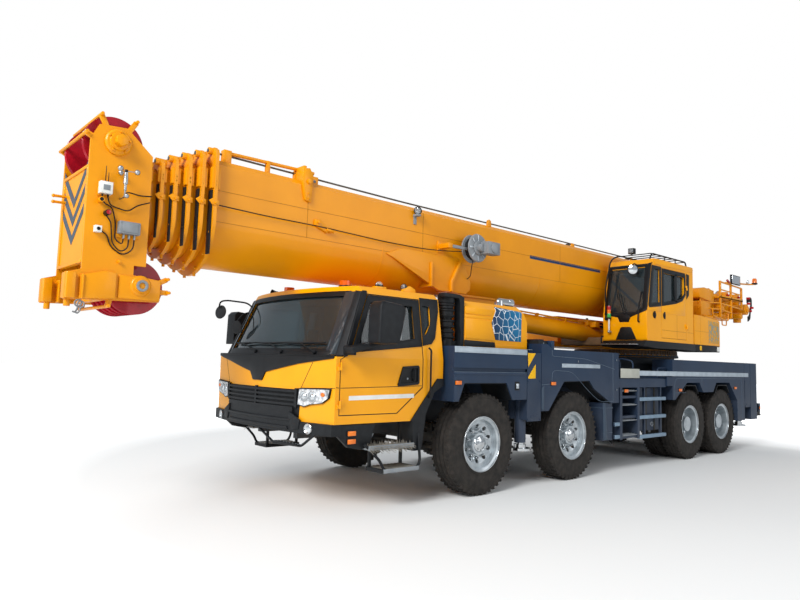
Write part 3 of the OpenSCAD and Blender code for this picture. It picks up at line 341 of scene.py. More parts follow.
def make_special_materials():
    """Polished steel, tread plate, the two cell patterns and the lamp glass that changes with its height."""
    material, shader = start_material("polished_steel", "#d3d6d8", 0.16, 1.0)
    mottle(material, shader, "#d6d9db", "#b4b8bb", 8.0)
    # Tread plate: slate enamel over raised studs
    material, shader = start_material("tread_plate", "#2a3b4e", 0.5)
    mottle(material, shader, "#2a3b4e", "#3a4856", 3.0)
    place = add_node(material, "ShaderNodeTexCoord")
    cells = add_node(material, "ShaderNodeTexVoronoi", {"Scale": 42.0}, Vector=place.outputs["Object"])
    bump = add_node(material, "ShaderNodeBump", {"Strength": 0.5, "Distance": 0.003, "invert": True},
                    Height=cells.outputs["Distance"])
    material.node_tree.links.new(bump.outputs["Normal"], shader.inputs["Normal"])
    # Cells drawn with pale lines: on blue, brighter to the rear, and as grey specks on yellow
    for name, front, rear, line, scale, width in (("cell_panel", "#0b2f52", "#1482b4", "#dfe6ea", 9.5, 0.03),
                                                  ("speckled_panel", "#d99a12", "#c98f18", "#8f8f7e", 11.0, 0.10)):
        material, shader = start_material(name, front, 0.35)
        place = add_node(material, "ShaderNodeTexCoord")
        split = add_node(material, "ShaderNodeSeparateXYZ", None, Vector=place.outputs["Object"])
        low, high = (1.65, 2.25) if name == "cell_panel" else (-4.3, -3.8)
        fade = add_node(material, "ShaderNodeMapRange", {"From Min": low, "From Max": high, "To Min": 1.0,
                                                         "To Max": 0.0}, Value=split.outputs["X"])
        under = add_node(material, "ShaderNodeMixRGB", {"Color1": linear(front), "Color2": linear(rear)},
                         Fac=fade.outputs["Result"])
        flat = add_node(material, "ShaderNodeCombineXYZ", None, X=split.outputs["X"], Y=split.outputs["Z"])
        cells = add_node(material, "ShaderNodeTexVoronoi", {"Scale": scale, "feature": "DISTANCE_TO_EDGE",
                                                            "Randomness": 0.6}, Vector=flat.outputs["Vector"])
        edge = add_node(material, "ShaderNodeMath", {"operation": "LESS_THAN"}, Value=cells.outputs["Distance"])
        edge.inputs[1].default_value = width
        mix = add_node(material, "ShaderNodeMixRGB", {"Color2": linear(line)}, Fac=edge.outputs[0],
                       Color1=under.outputs["Color"])
        material.node_tree.links.new(mix.outputs["Color"], shader.inputs["Base Color"])
    # The lamps node: clear faceted glass on the headlamps, black bases and amber domes on the roof
    material, shader = start_material("lamp_bodies", "#dde2e6", 0.18)
    shader.inputs["Coat Weight"].default_value = 0.8
    place = add_node(material, "ShaderNodeTexCoord")
    split = add_node(material, "ShaderNodeSeparateXYZ", None, Vector=place.outputs["Object"])
    facets = add_node(material, "ShaderNodeTexVoronoi", {"Scale": 26.0}, Vector=place.outputs["Object"])
    clear = add_node(material, "ShaderNodeValToRGB", None, Fac=facets.outputs["Distance"])
    clear.color_ramp.elements[0].color = linear("#f4f6f8")
    clear.color_ramp.elements[1].color = linear("#6f767c")
    roof = add_node(material, "ShaderNodeMath", {"operation": "GREATER_THAN"}, Value=split.outputs["Z"])
    roof.inputs[1].default_value = 2.0
    dome = add_node(material, "ShaderNodeMath", {"operation": "GREATER_THAN"}, Value=split.outputs["Z"])
    dome.inputs[1].default_value = 2.445
    beacon = add_node(material, "ShaderNodeMixRGB", {"Color1": linear("#0e0f11"), "Color2": linear("#e8630a")},
                      Fac=dome.outputs[0])
    mix = add_node(material, "ShaderNodeMixRGB", None, Fac=roof.outputs[0], Color1=clear.outputs["Color"],
                   Color2=beacon.outputs["Color"])
    material.node_tree.links.new(mix.outputs["Color"], shader.inputs["Base Color"])


NODE_FINISH = {
    "chassis": "frame_enamel", "axles": "axle_black", "cab_shell": "cab_enamel", "cab_glass": "tinted_glass",
    "cab_interior": "cab_vinyl", "cab_trim": "grained_plastic", "lamps": "lamp_bodies", "door": "cab_enamel",
    "mirror": "grained_plastic", "hood": "cab_enamel", "engine": "cast_iron", "side_boxes": "slate_enamel",
    "rear_deck": "slate_enamel", "tank_rack": "slate_enamel", "beam": "slate_enamel", "jack": "hard_chrome",
    "knuckle": "axle_black", "tyre": "tyre_rubber", "wheel": "forged_wheel", "turntable": "boom_enamel",
    "op_cab": "cab_enamel", "op_glass": "tinted_glass", "op_door": "cab_enamel", "winches": "zinc_grey",
    "boom": "boom_enamel", "sheave": "sheave_red", "lift_barrel": "boom_enamel", "lift_rod": "hard_chrome",
}


def finish_nodes():
    """Gives each CAD node the finish of the longest name that it starts with."""
    for name, node in NODES.items():
        key = max((k for k in NODE_FINISH if name.startswith(k)), key=len)
        node.data.materials.clear()
        node.data.materials.append(MATERIALS[NODE_FINISH[key]])


# Modelling


def choose(*things):
    """Selects just these objects, the first one active."""
    bpy.ops.object.select_all(action="DESELECT")
    for thing in things:
        thing.select_set(True)
    bpy.context.view_layer.objects.active = things[0]


def made(finish):
    """The object that an operator has just added, in its finish."""
    thing = bpy.context.object
    thing.data.materials.clear()
    thing.data.materials.append(MATERIALS[finish])
    return thing


def block(x0, x1, y0, y1, z0, z1, finish):
    """A box between two corners."""
    middle = at((x0 + x1) / 2, (y0 + y1) / 2, (z0 + z1) / 2)
    bpy.ops.mesh.primitive_cube_add(size=1, location=middle, scale=(abs(x1 - x0), abs(y1 - y0), abs(z1 - z0)))
    return made(finish)


def bar(start, end, radius, finish, sides=16, tip=None):
    """A round bar between two points, or a cone where the tip has another radius."""
    a, b = at(*start), at(*end)
    turn = (b - a).to_track_quat("Z", "Y").to_euler()
    bpy.ops.mesh.primitive_cone_add(vertices=sides, radius1=radius, radius2=radius if tip is None else tip,
                                    depth=(b - a).length, location=(a + b) / 2, rotation=turn)
    return made(finish)


def ball(place, size, finish, segments=20):
    """A ball, or an egg where size has three radii."""
    radii = size if isinstance(size, tuple) else (size, size, size)
    bpy.ops.mesh.primitive_uv_sphere_add(segments=segments, ring_count=segments // 2, radius=1,
                                         location=at(*place), scale=radii)
    return made(finish)


def hoop(place, axis, radius, thick, finish, sides=32):
    """A round ring about an axis."""
    turn = Vector(axis).to_track_quat("Z", "Y").to_euler()
    bpy.ops.mesh.primitive_torus_add(major_radius=radius, minor_radius=thick, major_segments=sides,
                                     minor_segments=10, location=at(*place), rotation=turn)
    return made(finish)


def turned(place, axis, profile, finish, steps=32):
    """A body of revolution: the profile's points are a radius and a place along the axis, in a closed loop."""
    bpy.ops.mesh.primitive_circle_add(vertices=len(profile), fill_type="NOTHING")
    thing = made(finish)
    for vertex, (radius, along) in zip(thing.data.vertices, profile):
        vertex.co = (radius, 0, along)
    bpy.ops.object.mode_set(mode="EDIT")
    bpy.ops.mesh.select_all(action="SELECT")
    bpy.ops.mesh.spin(steps=steps, angle=math.tau, center=(0, 0, 0), axis=(0, 0, 1), use_auto_merge=True)
    bpy.ops.mesh.select_all(action="SELECT")
    bpy.ops.mesh.remove_doubles(threshold=0.00002)
    bpy.ops.mesh.normals_make_consistent(inside=False)
    bpy.ops.object.mode_set(mode="OBJECT")
    thing.rotation_euler = Vector(axis).to_track_quat("Z", "Y").to_euler()
    thing.location = at(*place)
    return thing


def rounded(points, radius, steps=4):
    """The points of a line with its inner corners rounded off."""
    points = [Vector(p) for p in points]
    if radius <= 0 or len(points) < 3:
        return points
    line = [points[0]]
    for before, corner, after in zip(points, points[1:], points[2:]):
        reach = min(radius, (corner - before).length * 0.49, (after - corner).length * 0.49)
        a = corner + (before - corner).normalized() * reach
        b = corner + (after - corner).normalized() * reach
        for i in range(steps + 1):
            t = i / steps
            line.append(a * (1 - t) ** 2 + corner * 2 * t * (1 - t) + b * t ** 2)
    return line + [points[-1]]


def pipe(points, radius, finish, bend=0.05, sides=3, closed=False):
    """A bent tube along a line of points."""
    line = rounded(points, bend)
    data = bpy.data.curves.new("line", "CURVE")
    data.dimensions = "3D"
    data.bevel_depth = radius
    data.bevel_resolution = sides
    data.use_fill_caps = True
    run = data.splines.new("POLY")
    run.points.add(len(line) - 1)
    for point, place in zip(run.points, line):
        point.co = (*at(*place), 1)
    run.use_cyclic_u = closed
    thing = bpy.data.objects.new("line", data)
    bpy.context.scene.collection.objects.link(thing)
    choose(thing)
    bpy.ops.object.convert(target="MESH")
    return made(finish)


ACROSS = {"xz": 1, "yz": 0, "xy": 2}


def outline(points, plane, level):
    """The flat outline of a plate, as a ring of edges."""
    bpy.ops.mesh.primitive_circle_add(vertices=len(points), fill_type="NOTHING")
    thing = bpy.context.object
    for vertex, (a, b) in zip(thing.data.vertices, points):
        place = {"xz": (a, level, b), "yz": (level, a, b), "xy": (a, b, level)}[plane]
        vertex.co = at(*place)
    return thing


def plate(points, plane, low, high, finish, hole=None):
    """A plate cut to an outline in the side (xz), front (yz) or plan (xy) view, with a hole of as many corners."""
    thing = outline(points, plane, low)
    if hole:
        inner = outline(hole, plane, low)
        choose(thing, inner)
        bpy.ops.object.join()
    bpy.ops.object.mode_set(mode="EDIT")
    bpy.ops.mesh.select_all(action="SELECT")
    if hole:
        bpy.ops.mesh.bridge_edge_loops()
    else:
        bpy.ops.mesh.edge_face_add()
    bpy.ops.mesh.select_all(action="SELECT")
    move = [0.0, 0.0, 0.0]
    move[ACROSS[plane]] = high - low
    bpy.ops.mesh.extrude_region_move(TRANSFORM_OT_translate={"value": move})
    bpy.ops.mesh.select_all(action="SELECT")
    bpy.ops.mesh.normals_make_consistent(inside=False)
    bpy.ops.object.mode_set(mode="OBJECT")
    return made(finish)


def cuts(thing, axis, places):
    """Cuts a mesh across one axis at each place, so that it can be curved."""
    choose(thing)
    bpy.ops.object.mode_set(mode="EDIT")
    normal = [0.0, 0.0, 0.0]
    normal[axis] = 1.0
    for place in places:
        point = [0.0, 0.0, 0.0]
        point[axis] = place
        bpy.ops.mesh.select_all(action="SELECT")
        bpy.ops.mesh.bisect(plane_co=point, plane_no=normal)
    bpy.ops.object.mode_set(mode="OBJECT")


def copies(thing, moves):
    """Copies of an object at these distances from it, each with its own mesh."""
    out = []
    for move in moves:
        twin = thing.copy()
        twin.data = thing.data.copy()
        twin.location = thing.location + Vector(move)
        bpy.context.scene.collection.objects.link(twin)
        out.append(twin)
    return out


def ring_of(thing, count, place, axis):
    """Copies of an object spaced evenly round an axis, with the first one where it is."""
    centre = at(*place)
    out = [thing]
    for i in range(1, count):
        twin = thing.copy()
        twin.data = thing.data.copy()
        turn = Matrix.Rotation(math.tau * i / count, 4, Vector(axis))
        twin.matrix_world = Matrix.Translation(centre) @ turn @ Matrix.Translation(-centre) @ thing.matrix_world
        bpy.context.scene.collection.objects.link(twin)
        out.append(twin)
    return out


def mirrored(things):
    """Twins of some objects on the other side of the crane, turned the right way out."""
    out = []
    choose(*things)
    bpy.ops.object.transform_apply(location=True, rotation=True, scale=True)
    for thing in things:
        twin = thing.copy()
        twin.data = thing.data.copy()
        twin.data.transform(Matrix.Diagonal((1, -1, 1, 1)))
        twin.data.flip_normals()
        bpy.context.scene.collection.objects.link(twin)
        out.append(twin)
    return out


def piece(name, body, things, soft=0.003, segments=2, angle=35, replaced=(), into=None):
    """Joins what was modelled to one named piece, rounds its edges, settles it at the origin and rides it.

    A rope or hose that crosses a joint is baked in place where it was modelled and ridden on no body.
    """
    choose(*things)
    bpy.ops.object.transform_apply(location=True, rotation=True, scale=True)
    if len(things) > 1:
        bpy.ops.object.join()
    whole = bpy.context.object
    whole.name = name
    whole.data.name = name
    if soft:
        bpy.ops.object.modifier_add(type="BEVEL")
        edge = whole.modifiers[-1]
        edge.width = soft
        edge.segments = segments
        edge.limit_method = "ANGLE"
        edge.angle_limit = math.radians(angle)
        edge.harden_normals = False
        bpy.ops.object.modifier_apply(modifier=edge.name)
    bpy.ops.object.shade_smooth_by_angle(angle=math.radians(angle))
    if replaced:
        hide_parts(*replaced)
    if into:
        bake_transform(whole)
    else:
        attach(whole, body)
    return whole


def follow(thing, surface, steps=0.14, bends=()):
    """Curves a plate that was cut in the front view, so that its x is its distance from a surface."""
    ys = [vertex.co.y for vertex in thing.data.vertices]
    count = int((max(ys) - min(ys)) / steps)
    cuts(thing, 1, [min(ys) + (max(ys) - min(ys)) * (i + 1) / (count + 1) for i in range(count)])
    cuts(thing, 2, bends)
    for vertex in thing.data.vertices:
        vertex.co.x += surface(vertex.co.y, vertex.co.z)
    return thing

# The carrier's cab

NOSE_X, NOSE_R = 2.34, 5.0
SCREEN_X, SCREEN_R, SCREEN_LEAN = 2.32, 3.6, math.radians(24.6)
BELT = 1.62
SIDE_Y, SIDE_SLOPE = 1.27, 0.11 / 0.71


def nose(y, z):
    """Where the rounded nose is at a height, from the first axle."""
    return NOSE_X - NOSE_R + math.sqrt(NOSE_R ** 2 - y * y)


def screen(y, z):
    """Where the leaning windscreen's surface is."""
    return (SCREEN_X + (math.sqrt(SCREEN_R ** 2 - y * y) - SCREEN_R) / math.cos(SCREEN_LEAN)
            - (z - BELT) * math.tan(SCREEN_LEAN))


def front(y, z):
    """The nose below the belt line and the windscreen above it."""
    return nose(y, z) if z <= BELT + 0.001 else screen(y, z)


def on_side(points, low, high, finish, hole=None, flip=1):
    """A plate on the cab's side, in distances from its surface, which leans in over the belt line."""
    thing = plate(points, "xz", low, high, finish, hole)
    if min(z for _, z in points) < BELT < max(z for _, z in points):
        cuts(thing, 2, [BELT])
    for vertex in thing.data.vertices:
        vertex.co.y = (vertex.co.y + SIDE_Y - max(0.0, vertex.co.z - BELT) * SIDE_SLOPE) * flip
    if flip < 0:
        thing.data.flip_normals()
    return thing


def on_nose(points, low, high, finish, hole=None, surface=front, bends=(BELT,)):
    """A plate on the cab's front, in distances from its surface."""
    return follow(plate(points, "yz", low, high, finish, hole), surface, bends=bends)


def both_ways(points):
    """A front outline given for the left half, closed by its mirror image."""
    return points + [(-y, z) for y, z in reversed(points)]


def make_cab_front():
    """Windscreen frame, black cowl with its point, pillars, grille, bumper wings and the seams of the nose."""
    frame = on_nose(both_ways([(1.12, 1.64), (1.03, 2.345)]), 0.0, 0.012, "matt_black",
                    both_ways([(1.05, 1.70), (0.975, 2.285)]), screen, ())
    piece("windscreen_seal", "carrier", [frame], 0.004)
    cowl = on_nose(both_ways([(0.10, 1.335), (0.17, 1.43), (0.75, 1.535), (1.245, 1.60), (1.25, 1.62)]),
                   0.001, 0.016, "matt_black", None, nose, ())
    ledge = [(nose(y, 0) + 0.014, y) for y in (-1.25, -1.0, -0.7, -0.4, 0.0, 0.4, 0.7, 1.0, 1.25)]
    ledge += [(screen(y, BELT) - 0.01, y) for y in (1.25, 1.0, 0.7, 0.4, 0.0, -0.4, -0.7, -1.0, -1.25)]
    top = plate(ledge, "xy", BELT, BELT + 0.014, "matt_black")
    lip = on_nose(both_ways([(1.10, 1.632), (1.09, 1.68)]), 0.0, 0.02, "matt_black", None, screen, ())
    piece("cowl_panel", "carrier", [cowl, top, lip], 0.004)
    pillars, rims = [], []
    for way in (1, -1):
        rims.append(on_nose([(way * 1.035, 1.64), (way * 1.20, 1.64), (way * 1.12, 2.335), (way * 0.965, 2.335)],
                            0.002, 0.015, "dark_glass", None, screen, ()))
        pillars.append(on_nose([(way * 1.165, 1.63), (way * 1.262, 1.63), (way * 1.165, 2.335), (way * 1.085, 2.345)],
                               0.002, 0.020, "grained_plastic", None, screen, ()))
        pillars.append(on_side([(2.085, 1.622), (2.045, 1.622), (1.996, 1.684), (1.727, 2.305), (1.727, 2.345),
                                (1.785, 2.345)], 0.0, 0.014, "grained_plastic", None, way))
    piece("windscreen_rims", "carrier", rims, 0.002)
    piece("windscreen_pillars", "carrier", pillars, 0.006, 3)
    # The grille's dark screen behind its bars, and the black panel that runs down to the bumper
    back = on_nose([(-0.78, 0.935), (0.78, 0.935), (0.80, 1.262), (-0.80, 1.262)], 0.0004, 0.004, "matt_black",
                   None, nose, ())
    mesh_bars = [on_nose([(-0.75, z), (0.75, z), (0.75, z + 0.006), (-0.75, z + 0.006)], 0.004, 0.012,
                         "grained_plastic", None, nose, ()) for z in (1.055, 1.067, 1.125, 1.171, 1.217)]
    piece("grille_screen", "carrier", [back] + mesh_bars, 0.0015, 1)
    wings = [on_nose([(y, 0.84), (y + 0.1 * way, 0.85), (y + 0.12 * way, 0.95), (y - 0.05 * way, 1.03),
                      (y - 0.06 * way, 0.98)], 0.02, 0.042, "grained_plastic", None, nose, ())
             for y, way in ((0.72, 1), (-0.72, -1))]
    lip = on_nose([(-0.7, 0.925), (0.7, 0.925), (0.68, 0.95), (-0.68, 0.95)], 0.02, 0.045, "grained_plastic",
                  None, nose, ())
    low = on_nose([(-0.66, 0.835), (0.66, 0.835), (0.64, 0.87), (-0.64, 0.87)], 0.028, 0.044, "grained_plastic",
                  None, nose, ())
    piece("bumper_wings", "carrier", wings + [lip, low], 0.006)
    # Panel gaps of the nose: a dark line where the side skirts meet the middle
    gaps = []
    for way in (1, -1):
        gaps.append(on_nose([(way * 0.955, 1.56), (way * 0.962, 1.56), (way * 0.80, 1.28), (way * 0.793, 1.28)],
                            0.0, 0.0015, "matt_black", None, nose, ()))
        gaps.append(on_nose([(way * 0.80, 1.276), (way * 0.80, 1.282), (way * 1.265, 1.30), (way * 1.265, 1.294)],
                            0.0, 0.0015, "matt_black", None, nose, ()))
        gaps.append(on_side([(2.17, 1.302), (2.17, 1.308), (2.13, 1.303), (2.13, 1.297)], 0.0, 0.0015,
                            "matt_black", None, way))
    piece("nose_gaps", "carrier", gaps, 0)


def make_wipers():
    """Three wipers: a pivot on the cowl, a cranked arm and a level blade with its holder."""
    for i, (blade_y, pivot_y) in enumerate(((-0.56, -0.11), (0.12, 0.41), (0.66, 0.91))):
        foot = (screen(pivot_y, 1.66) + 0.03, pivot_y, 1.66)
        tip = (screen(blade_y, 1.76) + 0.035, blade_y, 1.76)
        knob = bar((foot[0] - 0.03, pivot_y, 1.65), (foot[0] + 0.012, pivot_y, 1.668), 0.024, "grained_plastic", 16)
        cap = bar((foot[0] + 0.01, pivot_y, 1.667), (foot[0] + 0.022, pivot_y, 1.672), 0.017, "grained_plastic", 16,
                  0.009)
        lean = [foot, ((foot[0] * 2 + tip[0]) / 3 + 0.014, (pivot_y * 2 + blade_y) / 3, 1.70), tip]
        arms = [pipe(lean, 0.007, "grained_plastic", 0.04)]
        arms.append(pipe([(p[0] + 0.006, p[1] - 0.02, p[2] + 0.008) for p in lean], 0.0045, "grained_plastic", 0.04))
        half = 0.33
        holder = [(screen(blade_y + s * half * 0.62, 1.762) + 0.028, blade_y + s * half * 0.62, 1.762)
                  for s in (-1, 0, 1)]
        holder[1] = tip
        blade = [(screen(blade_y + s * half / 4, 1.748) + 0.012, blade_y + s * half / 4, 1.748 + 0.004 * abs(s))
                 for s in range(-4, 5)]
        piece(f"wiper_{i + 1}", "carrier",
              [knob, cap, pipe(holder, 0.008, "grained_plastic", 0.05), pipe(blade, 0.009, "hose_rubber", 0.0)] + arms,
              0)


def make_cab_lamps():
    """Bezels and bowls on the headlamps, fog lamps, side markers and the roof's small lamps."""
    shape = [(0.78, 1.11), (0.88, 1.095), (0.96, 1.12), (1.12, 1.14), (1.20, 1.19), (1.22, 1.28), (0.80, 1.27)]
    centre = (sum(p[0] for p in shape) / len(shape), sum(p[1] for p in shape) / len(shape))
    for side, way in (("left", 1), ("right", -1)):
        rim = [(way * (centre[0] + (y - centre[0]) * 1.045), centre[1] + (z - centre[1]) * 1.1) for y, z in shape]
        inner = [(way * y, z) for y, z in shape]
        parts = [on_nose(rim, 0.002, 0.027, "grained_plastic", inner, nose, ())]
        for y, r in ((0.865, 0.052), (0.99, 0.058)):
            x = nose(y, 0) + 0.022
            parts.append(turned((x, way * y, 1.195), (1, 0.2 * way * y, 0),
                                [(0, -0.004), (r, -0.004), (r, 0.004), (r * 0.9, 0.009), (r * 0.55, 0.003),
                                 (r * 0.45, 0.009), (0, 0.012)], "lamp_reflector", 28))
            parts.append(hoop((x + 0.004, way * y, 1.195), (1, 0.2 * way * y, 0), r, 0.005, "hard_chrome"))
        x = nose(1.13, 0) + 0.024
        parts.append(ball((x, way * 1.13, 1.225), (0.008, 0.038, 0.022), "amber_lens"))
        for k in range(5):
            y = 0.82 + 0.085 * k
            parts.append(ball((nose(y, 0) + 0.024, way * y, 1.255), (0.006, 0.016, 0.007), "white_enamel", 10))
        piece(f"headlamp_fittings_{side}", "carrier", parts, 0.0015, 1)
        x = nose(0.966, 0) + 0.03
        fog = [turned((x - 0.004, way * 0.966, 0.868), (1, 0.2 * way, 0),
                      [(0, 0), (0.052, 0), (0.052, 0.012), (0.046, 0.018), (0.036, 0.01), (0, 0.014)],
                      "lamp_reflector", 28),
               hoop((x + 0.012, way * 0.966, 0.868), (1, 0.2 * way, 0), 0.049, 0.006, "hard_chrome")]
        piece(f"fog_lamp_{side}", "carrier", fog, 0)
        marks = []
        for z in (0.834, 0.752):
            marks.append(block(1.90, 2.0, way * 1.268, way * 1.286, z - 0.024, z + 0.024, "amber_lens"))
            marks.append(block(1.893, 2.007, way * 1.262, way * 1.275, z - 0.031, z + 0.031, "grained_plastic"))
        piece(f"side_markers_{side}", "carrier", marks, 0.004)
    skirts = []
    for way in (1, -1):
        skirts.append(plate([(2.10, 0.925), (2.13, 0.82), (1.98, 0.69), (1.80, 0.655), (1.70, 0.70), (1.62, 0.925)],
                            "xz", way * 1.21, way * 1.262, "grained_plastic"))
    piece("cab_side_skirts", "carrier", skirts, 0.008, 3)
    for side, way in (("left", 1), ("right", -1)):
        parts = [turned((1.6, way * 0.6, 2.401), (0, 0, 1),
                        [(0, 0), (0.085, 0), (0.085, 0.012), (0.074, 0.02), (0.074, 0.045), (0.067, 0.05), (0, 0.05)],
                        "matt_black", 32),
                 hoop((1.6, way * 0.6, 2.462), (0, 0, 1), 0.0655, 0.002, "amber_lens"),
                 hoop((1.6, way * 0.6, 2.48), (0, 0, 1), 0.0655, 0.002, "amber_lens")]
        piece(f"beacon_base_{side}", "carrier", parts, 0.001, 1)
    box = [block(1.36, 1.52, 0.99, 1.07, 2.39, 2.425, "cab_enamel"),
           block(1.40, 1.48, 1.00, 1.06, 2.42, 2.45, "grained_plastic"),
           ball((1.44, 1.03, 2.45), (0.045, 0.035, 0.035), "lamp_glass")]
    piece("roof_marker", "carrier", box, 0.008, 3)
    horn = [bar((1.66, -0.86, 2.39), (1.66, -0.86, 2.425), 0.03, "matt_black"),
            turned((1.60, -0.86, 2.44), (1, 0, 0), [(0, 0), (0.028, 0), (0.034, 0.05), (0.05, 0.1), (0.044, 0.1),
                                                    (0.02, 0.04), (0, 0.04)], "matt_black", 24)]
    piece("roof_horn", "carrier", horn, 0)
    arm = [plate([(0.88, 2.395), (1.10, 2.395), (1.06, 2.44), (0.98, 2.475), (0.90, 2.445)], "xz", 1.0, 1.05,
                 "cab_enamel"),
           bar((1.00, 0.99, 2.452), (1.05, 1.01, 2.46), 0.034, "matt_black", 20, 0.04),
           ball((1.056, 1.012, 2.461), (0.012, 0.033, 0.033), "lamp_glass")]
    piece("roof_work_lamp", "carrier", arm, 0.004)


def make_doors():
    """Black window frames, panes, handles, the white strip and the dark panel gaps of both doors."""
    for side, way in (("left", 1), ("right", -1)):
        body = f"cab_door_{side}"
        frame = on_side([(1.988, 1.665), (1.715, 2.302), (0.957, 2.302), (0.957, 1.765)], 0.0, 0.011,
                        "grained_plastic", [(1.905, 1.715), (1.69, 2.225), (1.065, 2.225), (1.065, 1.845)], way)
        bead = on_side([(1.912, 1.71), (1.692, 2.232), (1.058, 2.232), (1.058, 1.838)], 0.009, 0.016,
                       "matt_black", [(1.895, 1.722), (1.684, 2.218), (1.072, 2.218), (1.072, 1.852)], way)
        piece(f"door_window_frame_{side}", body, [frame, bead], 0.003)
        pane = on_side([(1.93, 1.69), (1.70, 2.25), (1.045, 2.25), (1.045, 1.815)], -0.03, -0.024, "tinted_glass",
                       None, way)
        piece(f"door_pane_{side}", body, [pane], 0.001, 1)
        cup = on_side([(1.262, 1.532), (1.03, 1.548), (1.012, 1.53), (1.008, 1.352), (1.03, 1.332), (1.325, 1.315),
                       (1.335, 1.335)], 0.0, 0.014, "grained_plastic",
                      [(1.235, 1.507), (1.05, 1.522), (1.04, 1.512), (1.038, 1.368), (1.052, 1.36), (1.285, 1.345),
                       (1.295, 1.36)], way)
        well = on_side([(1.255, 1.525), (1.03, 1.54), (1.015, 1.35), (1.32, 1.325)], 0.0, 0.004, "matt_black",
                       None, way)
        grip = pipe([(1.10, way * 1.272, 1.375), (1.10, way * 1.30, 1.39), (1.105, way * 1.30, 1.49),
                     (1.105, way * 1.272, 1.505)], 0.012, "grained_plastic", 0.025)
        lock = bar((1.19, way * 1.27, 1.40), (1.19, way * 1.281, 1.40), 0.012, "zinc_grey")
        piece(f"door_handle_{side}", body, [cup, well, grip, lock], 0.003)
        strip = on_side([(2.0, 1.172), (2.0, 1.218), (1.08, 1.232), (1.08, 1.186)], 0.0, 0.002, "white_enamel",
                        None, way)
        piece(f"door_strip_{side}", body, [strip], 0.0007, 1)
        lines = [on_side([(2.112, 1.296), (2.112, 1.302), (0.96, 1.322), (0.96, 1.316)], 0.0, 0.0015, "matt_black",
                         None, way)]
        piece(f"door_gap_line_{side}", body, lines, 0)
        # The thin seal that shows between the door and the shell
        rim = [(2.118, 1.024), (2.118, 1.588), (2.043, 1.63), (1.988, 1.678), (1.718, 2.308), (0.953, 2.308),
               (0.953, 1.302), (1.332, 1.024)]
        out = [(2.126, 1.016), (2.126, 1.593), (2.048, 1.636), (1.995, 1.684), (1.722, 2.315), (0.944, 2.315),
               (0.944, 1.297), (1.328, 1.016)]
        seal = on_side(out, -0.03, 0.0012, "hose_rubber", rim, way)
        quarter = on_side([(0.938, 1.775), (0.938, 2.335), (0.64, 2.335), (0.645, 2.20), (0.735, 1.87), (0.80, 1.80)],
                          0.0, 0.011, "grained_plastic",
                          [(0.905, 1.885), (0.905, 2.24), (0.785, 2.24), (0.785, 2.10), (0.797, 2.03), (0.86, 1.93)],
                          way)
        piece(f"quarter_frame_{side}", "carrier", [quarter, seal], 0.002)
        pull = pipe([(0.86, way * 1.27, 1.75), (0.86, way * 1.31, 1.73), (0.86, way * 1.31, 1.20),
                     (0.86, way * 1.27, 1.18)], 0.011, "grained_plastic", 0.03)
        piece(f"cab_grab_bar_{side}", "carrier", [pull], 0)


def make_mirrors():
    """Long round-cornered housing and glass on the driver's door, and round mirrors on arms on the right."""
    shell = plate([(1.925, 1.76), (1.915, 2.16), (1.87, 2.205), (1.60, 2.175), (1.56, 2.13), (1.63, 1.80),
                   (1.66, 1.765)], "xz", 1.44, 1.648, "grained_plastic")
    piece("mirror_shell_left", "cab_door_left", [shell], 0.035, 5, 30, ("mirror_left",))
    glass = plate([(-1.0, -1.0), (1.0, -1.0), (1.0, 1.0), (-1.0, 1.0)], "yz", 0, 0.01, "lamp_reflector")
    choose(glass)
    bpy.ops.object.transform_apply()
    for vertex in glass.data.vertices:
        y, z = vertex.co.y, vertex.co.z
        vertex.co = at(1.60 + (0.008 if vertex.co.x > AXLE_1 + 0.005 else 0.0) + z * -0.02, 1.545 + y * 0.085,
                       1.975 + z * 0.165)
    arms = [pipe([(2.0, 1.262, 1.69), (1.98, 1.36, 1.71), (1.86, 1.50, 1.80), (1.80, 1.52, 1.90)], 0.02,
                 "grained_plastic", 0.06),
            plate([(2.10, 1.655), (2.12, 1.72), (1.72, 1.80), (1.66, 1.775), (1.94, 1.70)], "xz", 1.29, 1.45,
                  "grained_plastic"),
            block(1.95, 2.08, 1.25, 1.31, 1.64, 1.74, "grained_plastic")]
    piece("mirror_arm_left", "cab_door_left", arms, 0.012, 3)
    piece("mirror_glass_left", "cab_door_left", [glass], 0.004)
    root = bar((1.78, -1.155, 2.21), (1.78, -1.20, 2.25), 0.03, "grained_plastic")
    arm = pipe([(1.78, -1.17, 2.23), (1.84, -1.24, 2.315), (2.10, -1.33, 2.335), (2.185, -1.36, 2.315),
                (2.195, -1.36, 2.23)], 0.011, "grained_plastic", 0.07)
    head = turned((2.17, -1.36, 2.175), (0.9, 0.35, 0.1),
                  [(0, -0.035), (0.05, -0.03), (0.085, -0.012), (0.092, 0.0), (0.085, 0.008), (0, 0.008)],
                  "grained_plastic", 28)
    low = pipe([(1.80, -1.18, 2.20), (1.98, -1.10, 2.15), (2.12, -0.98, 2.05), (2.13, -0.95, 2.0)], 0.010,
               "grained_plastic", 0.06)
    second = turned((2.14, -0.94, 1.965), (0.9, 0.3, -0.1),
                    [(0, -0.03), (0.05, -0.026), (0.08, -0.01), (0.088, 0.0), (0.08, 0.008), (0, 0.008)],
                    "grained_plastic", 28)
    piece("mirror_arms_right", "carrier", [root, arm, head, low, second], 0.001, 1)
    far = plate([(1.925, 1.76), (1.915, 2.16), (1.87, 2.205), (1.60, 2.175), (1.56, 2.13), (1.63, 1.80),
                 (1.66, 1.765)], "xz", -1.648, -1.44, "grained_plastic")
    arms = [pipe([(2.0, -1.262, 1.69), (1.98, -1.36, 1.71), (1.86, -1.50, 1.80), (1.80, -1.52, 1.90)], 0.02,
                 "grained_plastic", 0.06)]
    piece("mirror_shell_right", "cab_door_right", [far] + arms, 0.02, 4, 30, ("mirror_right",))


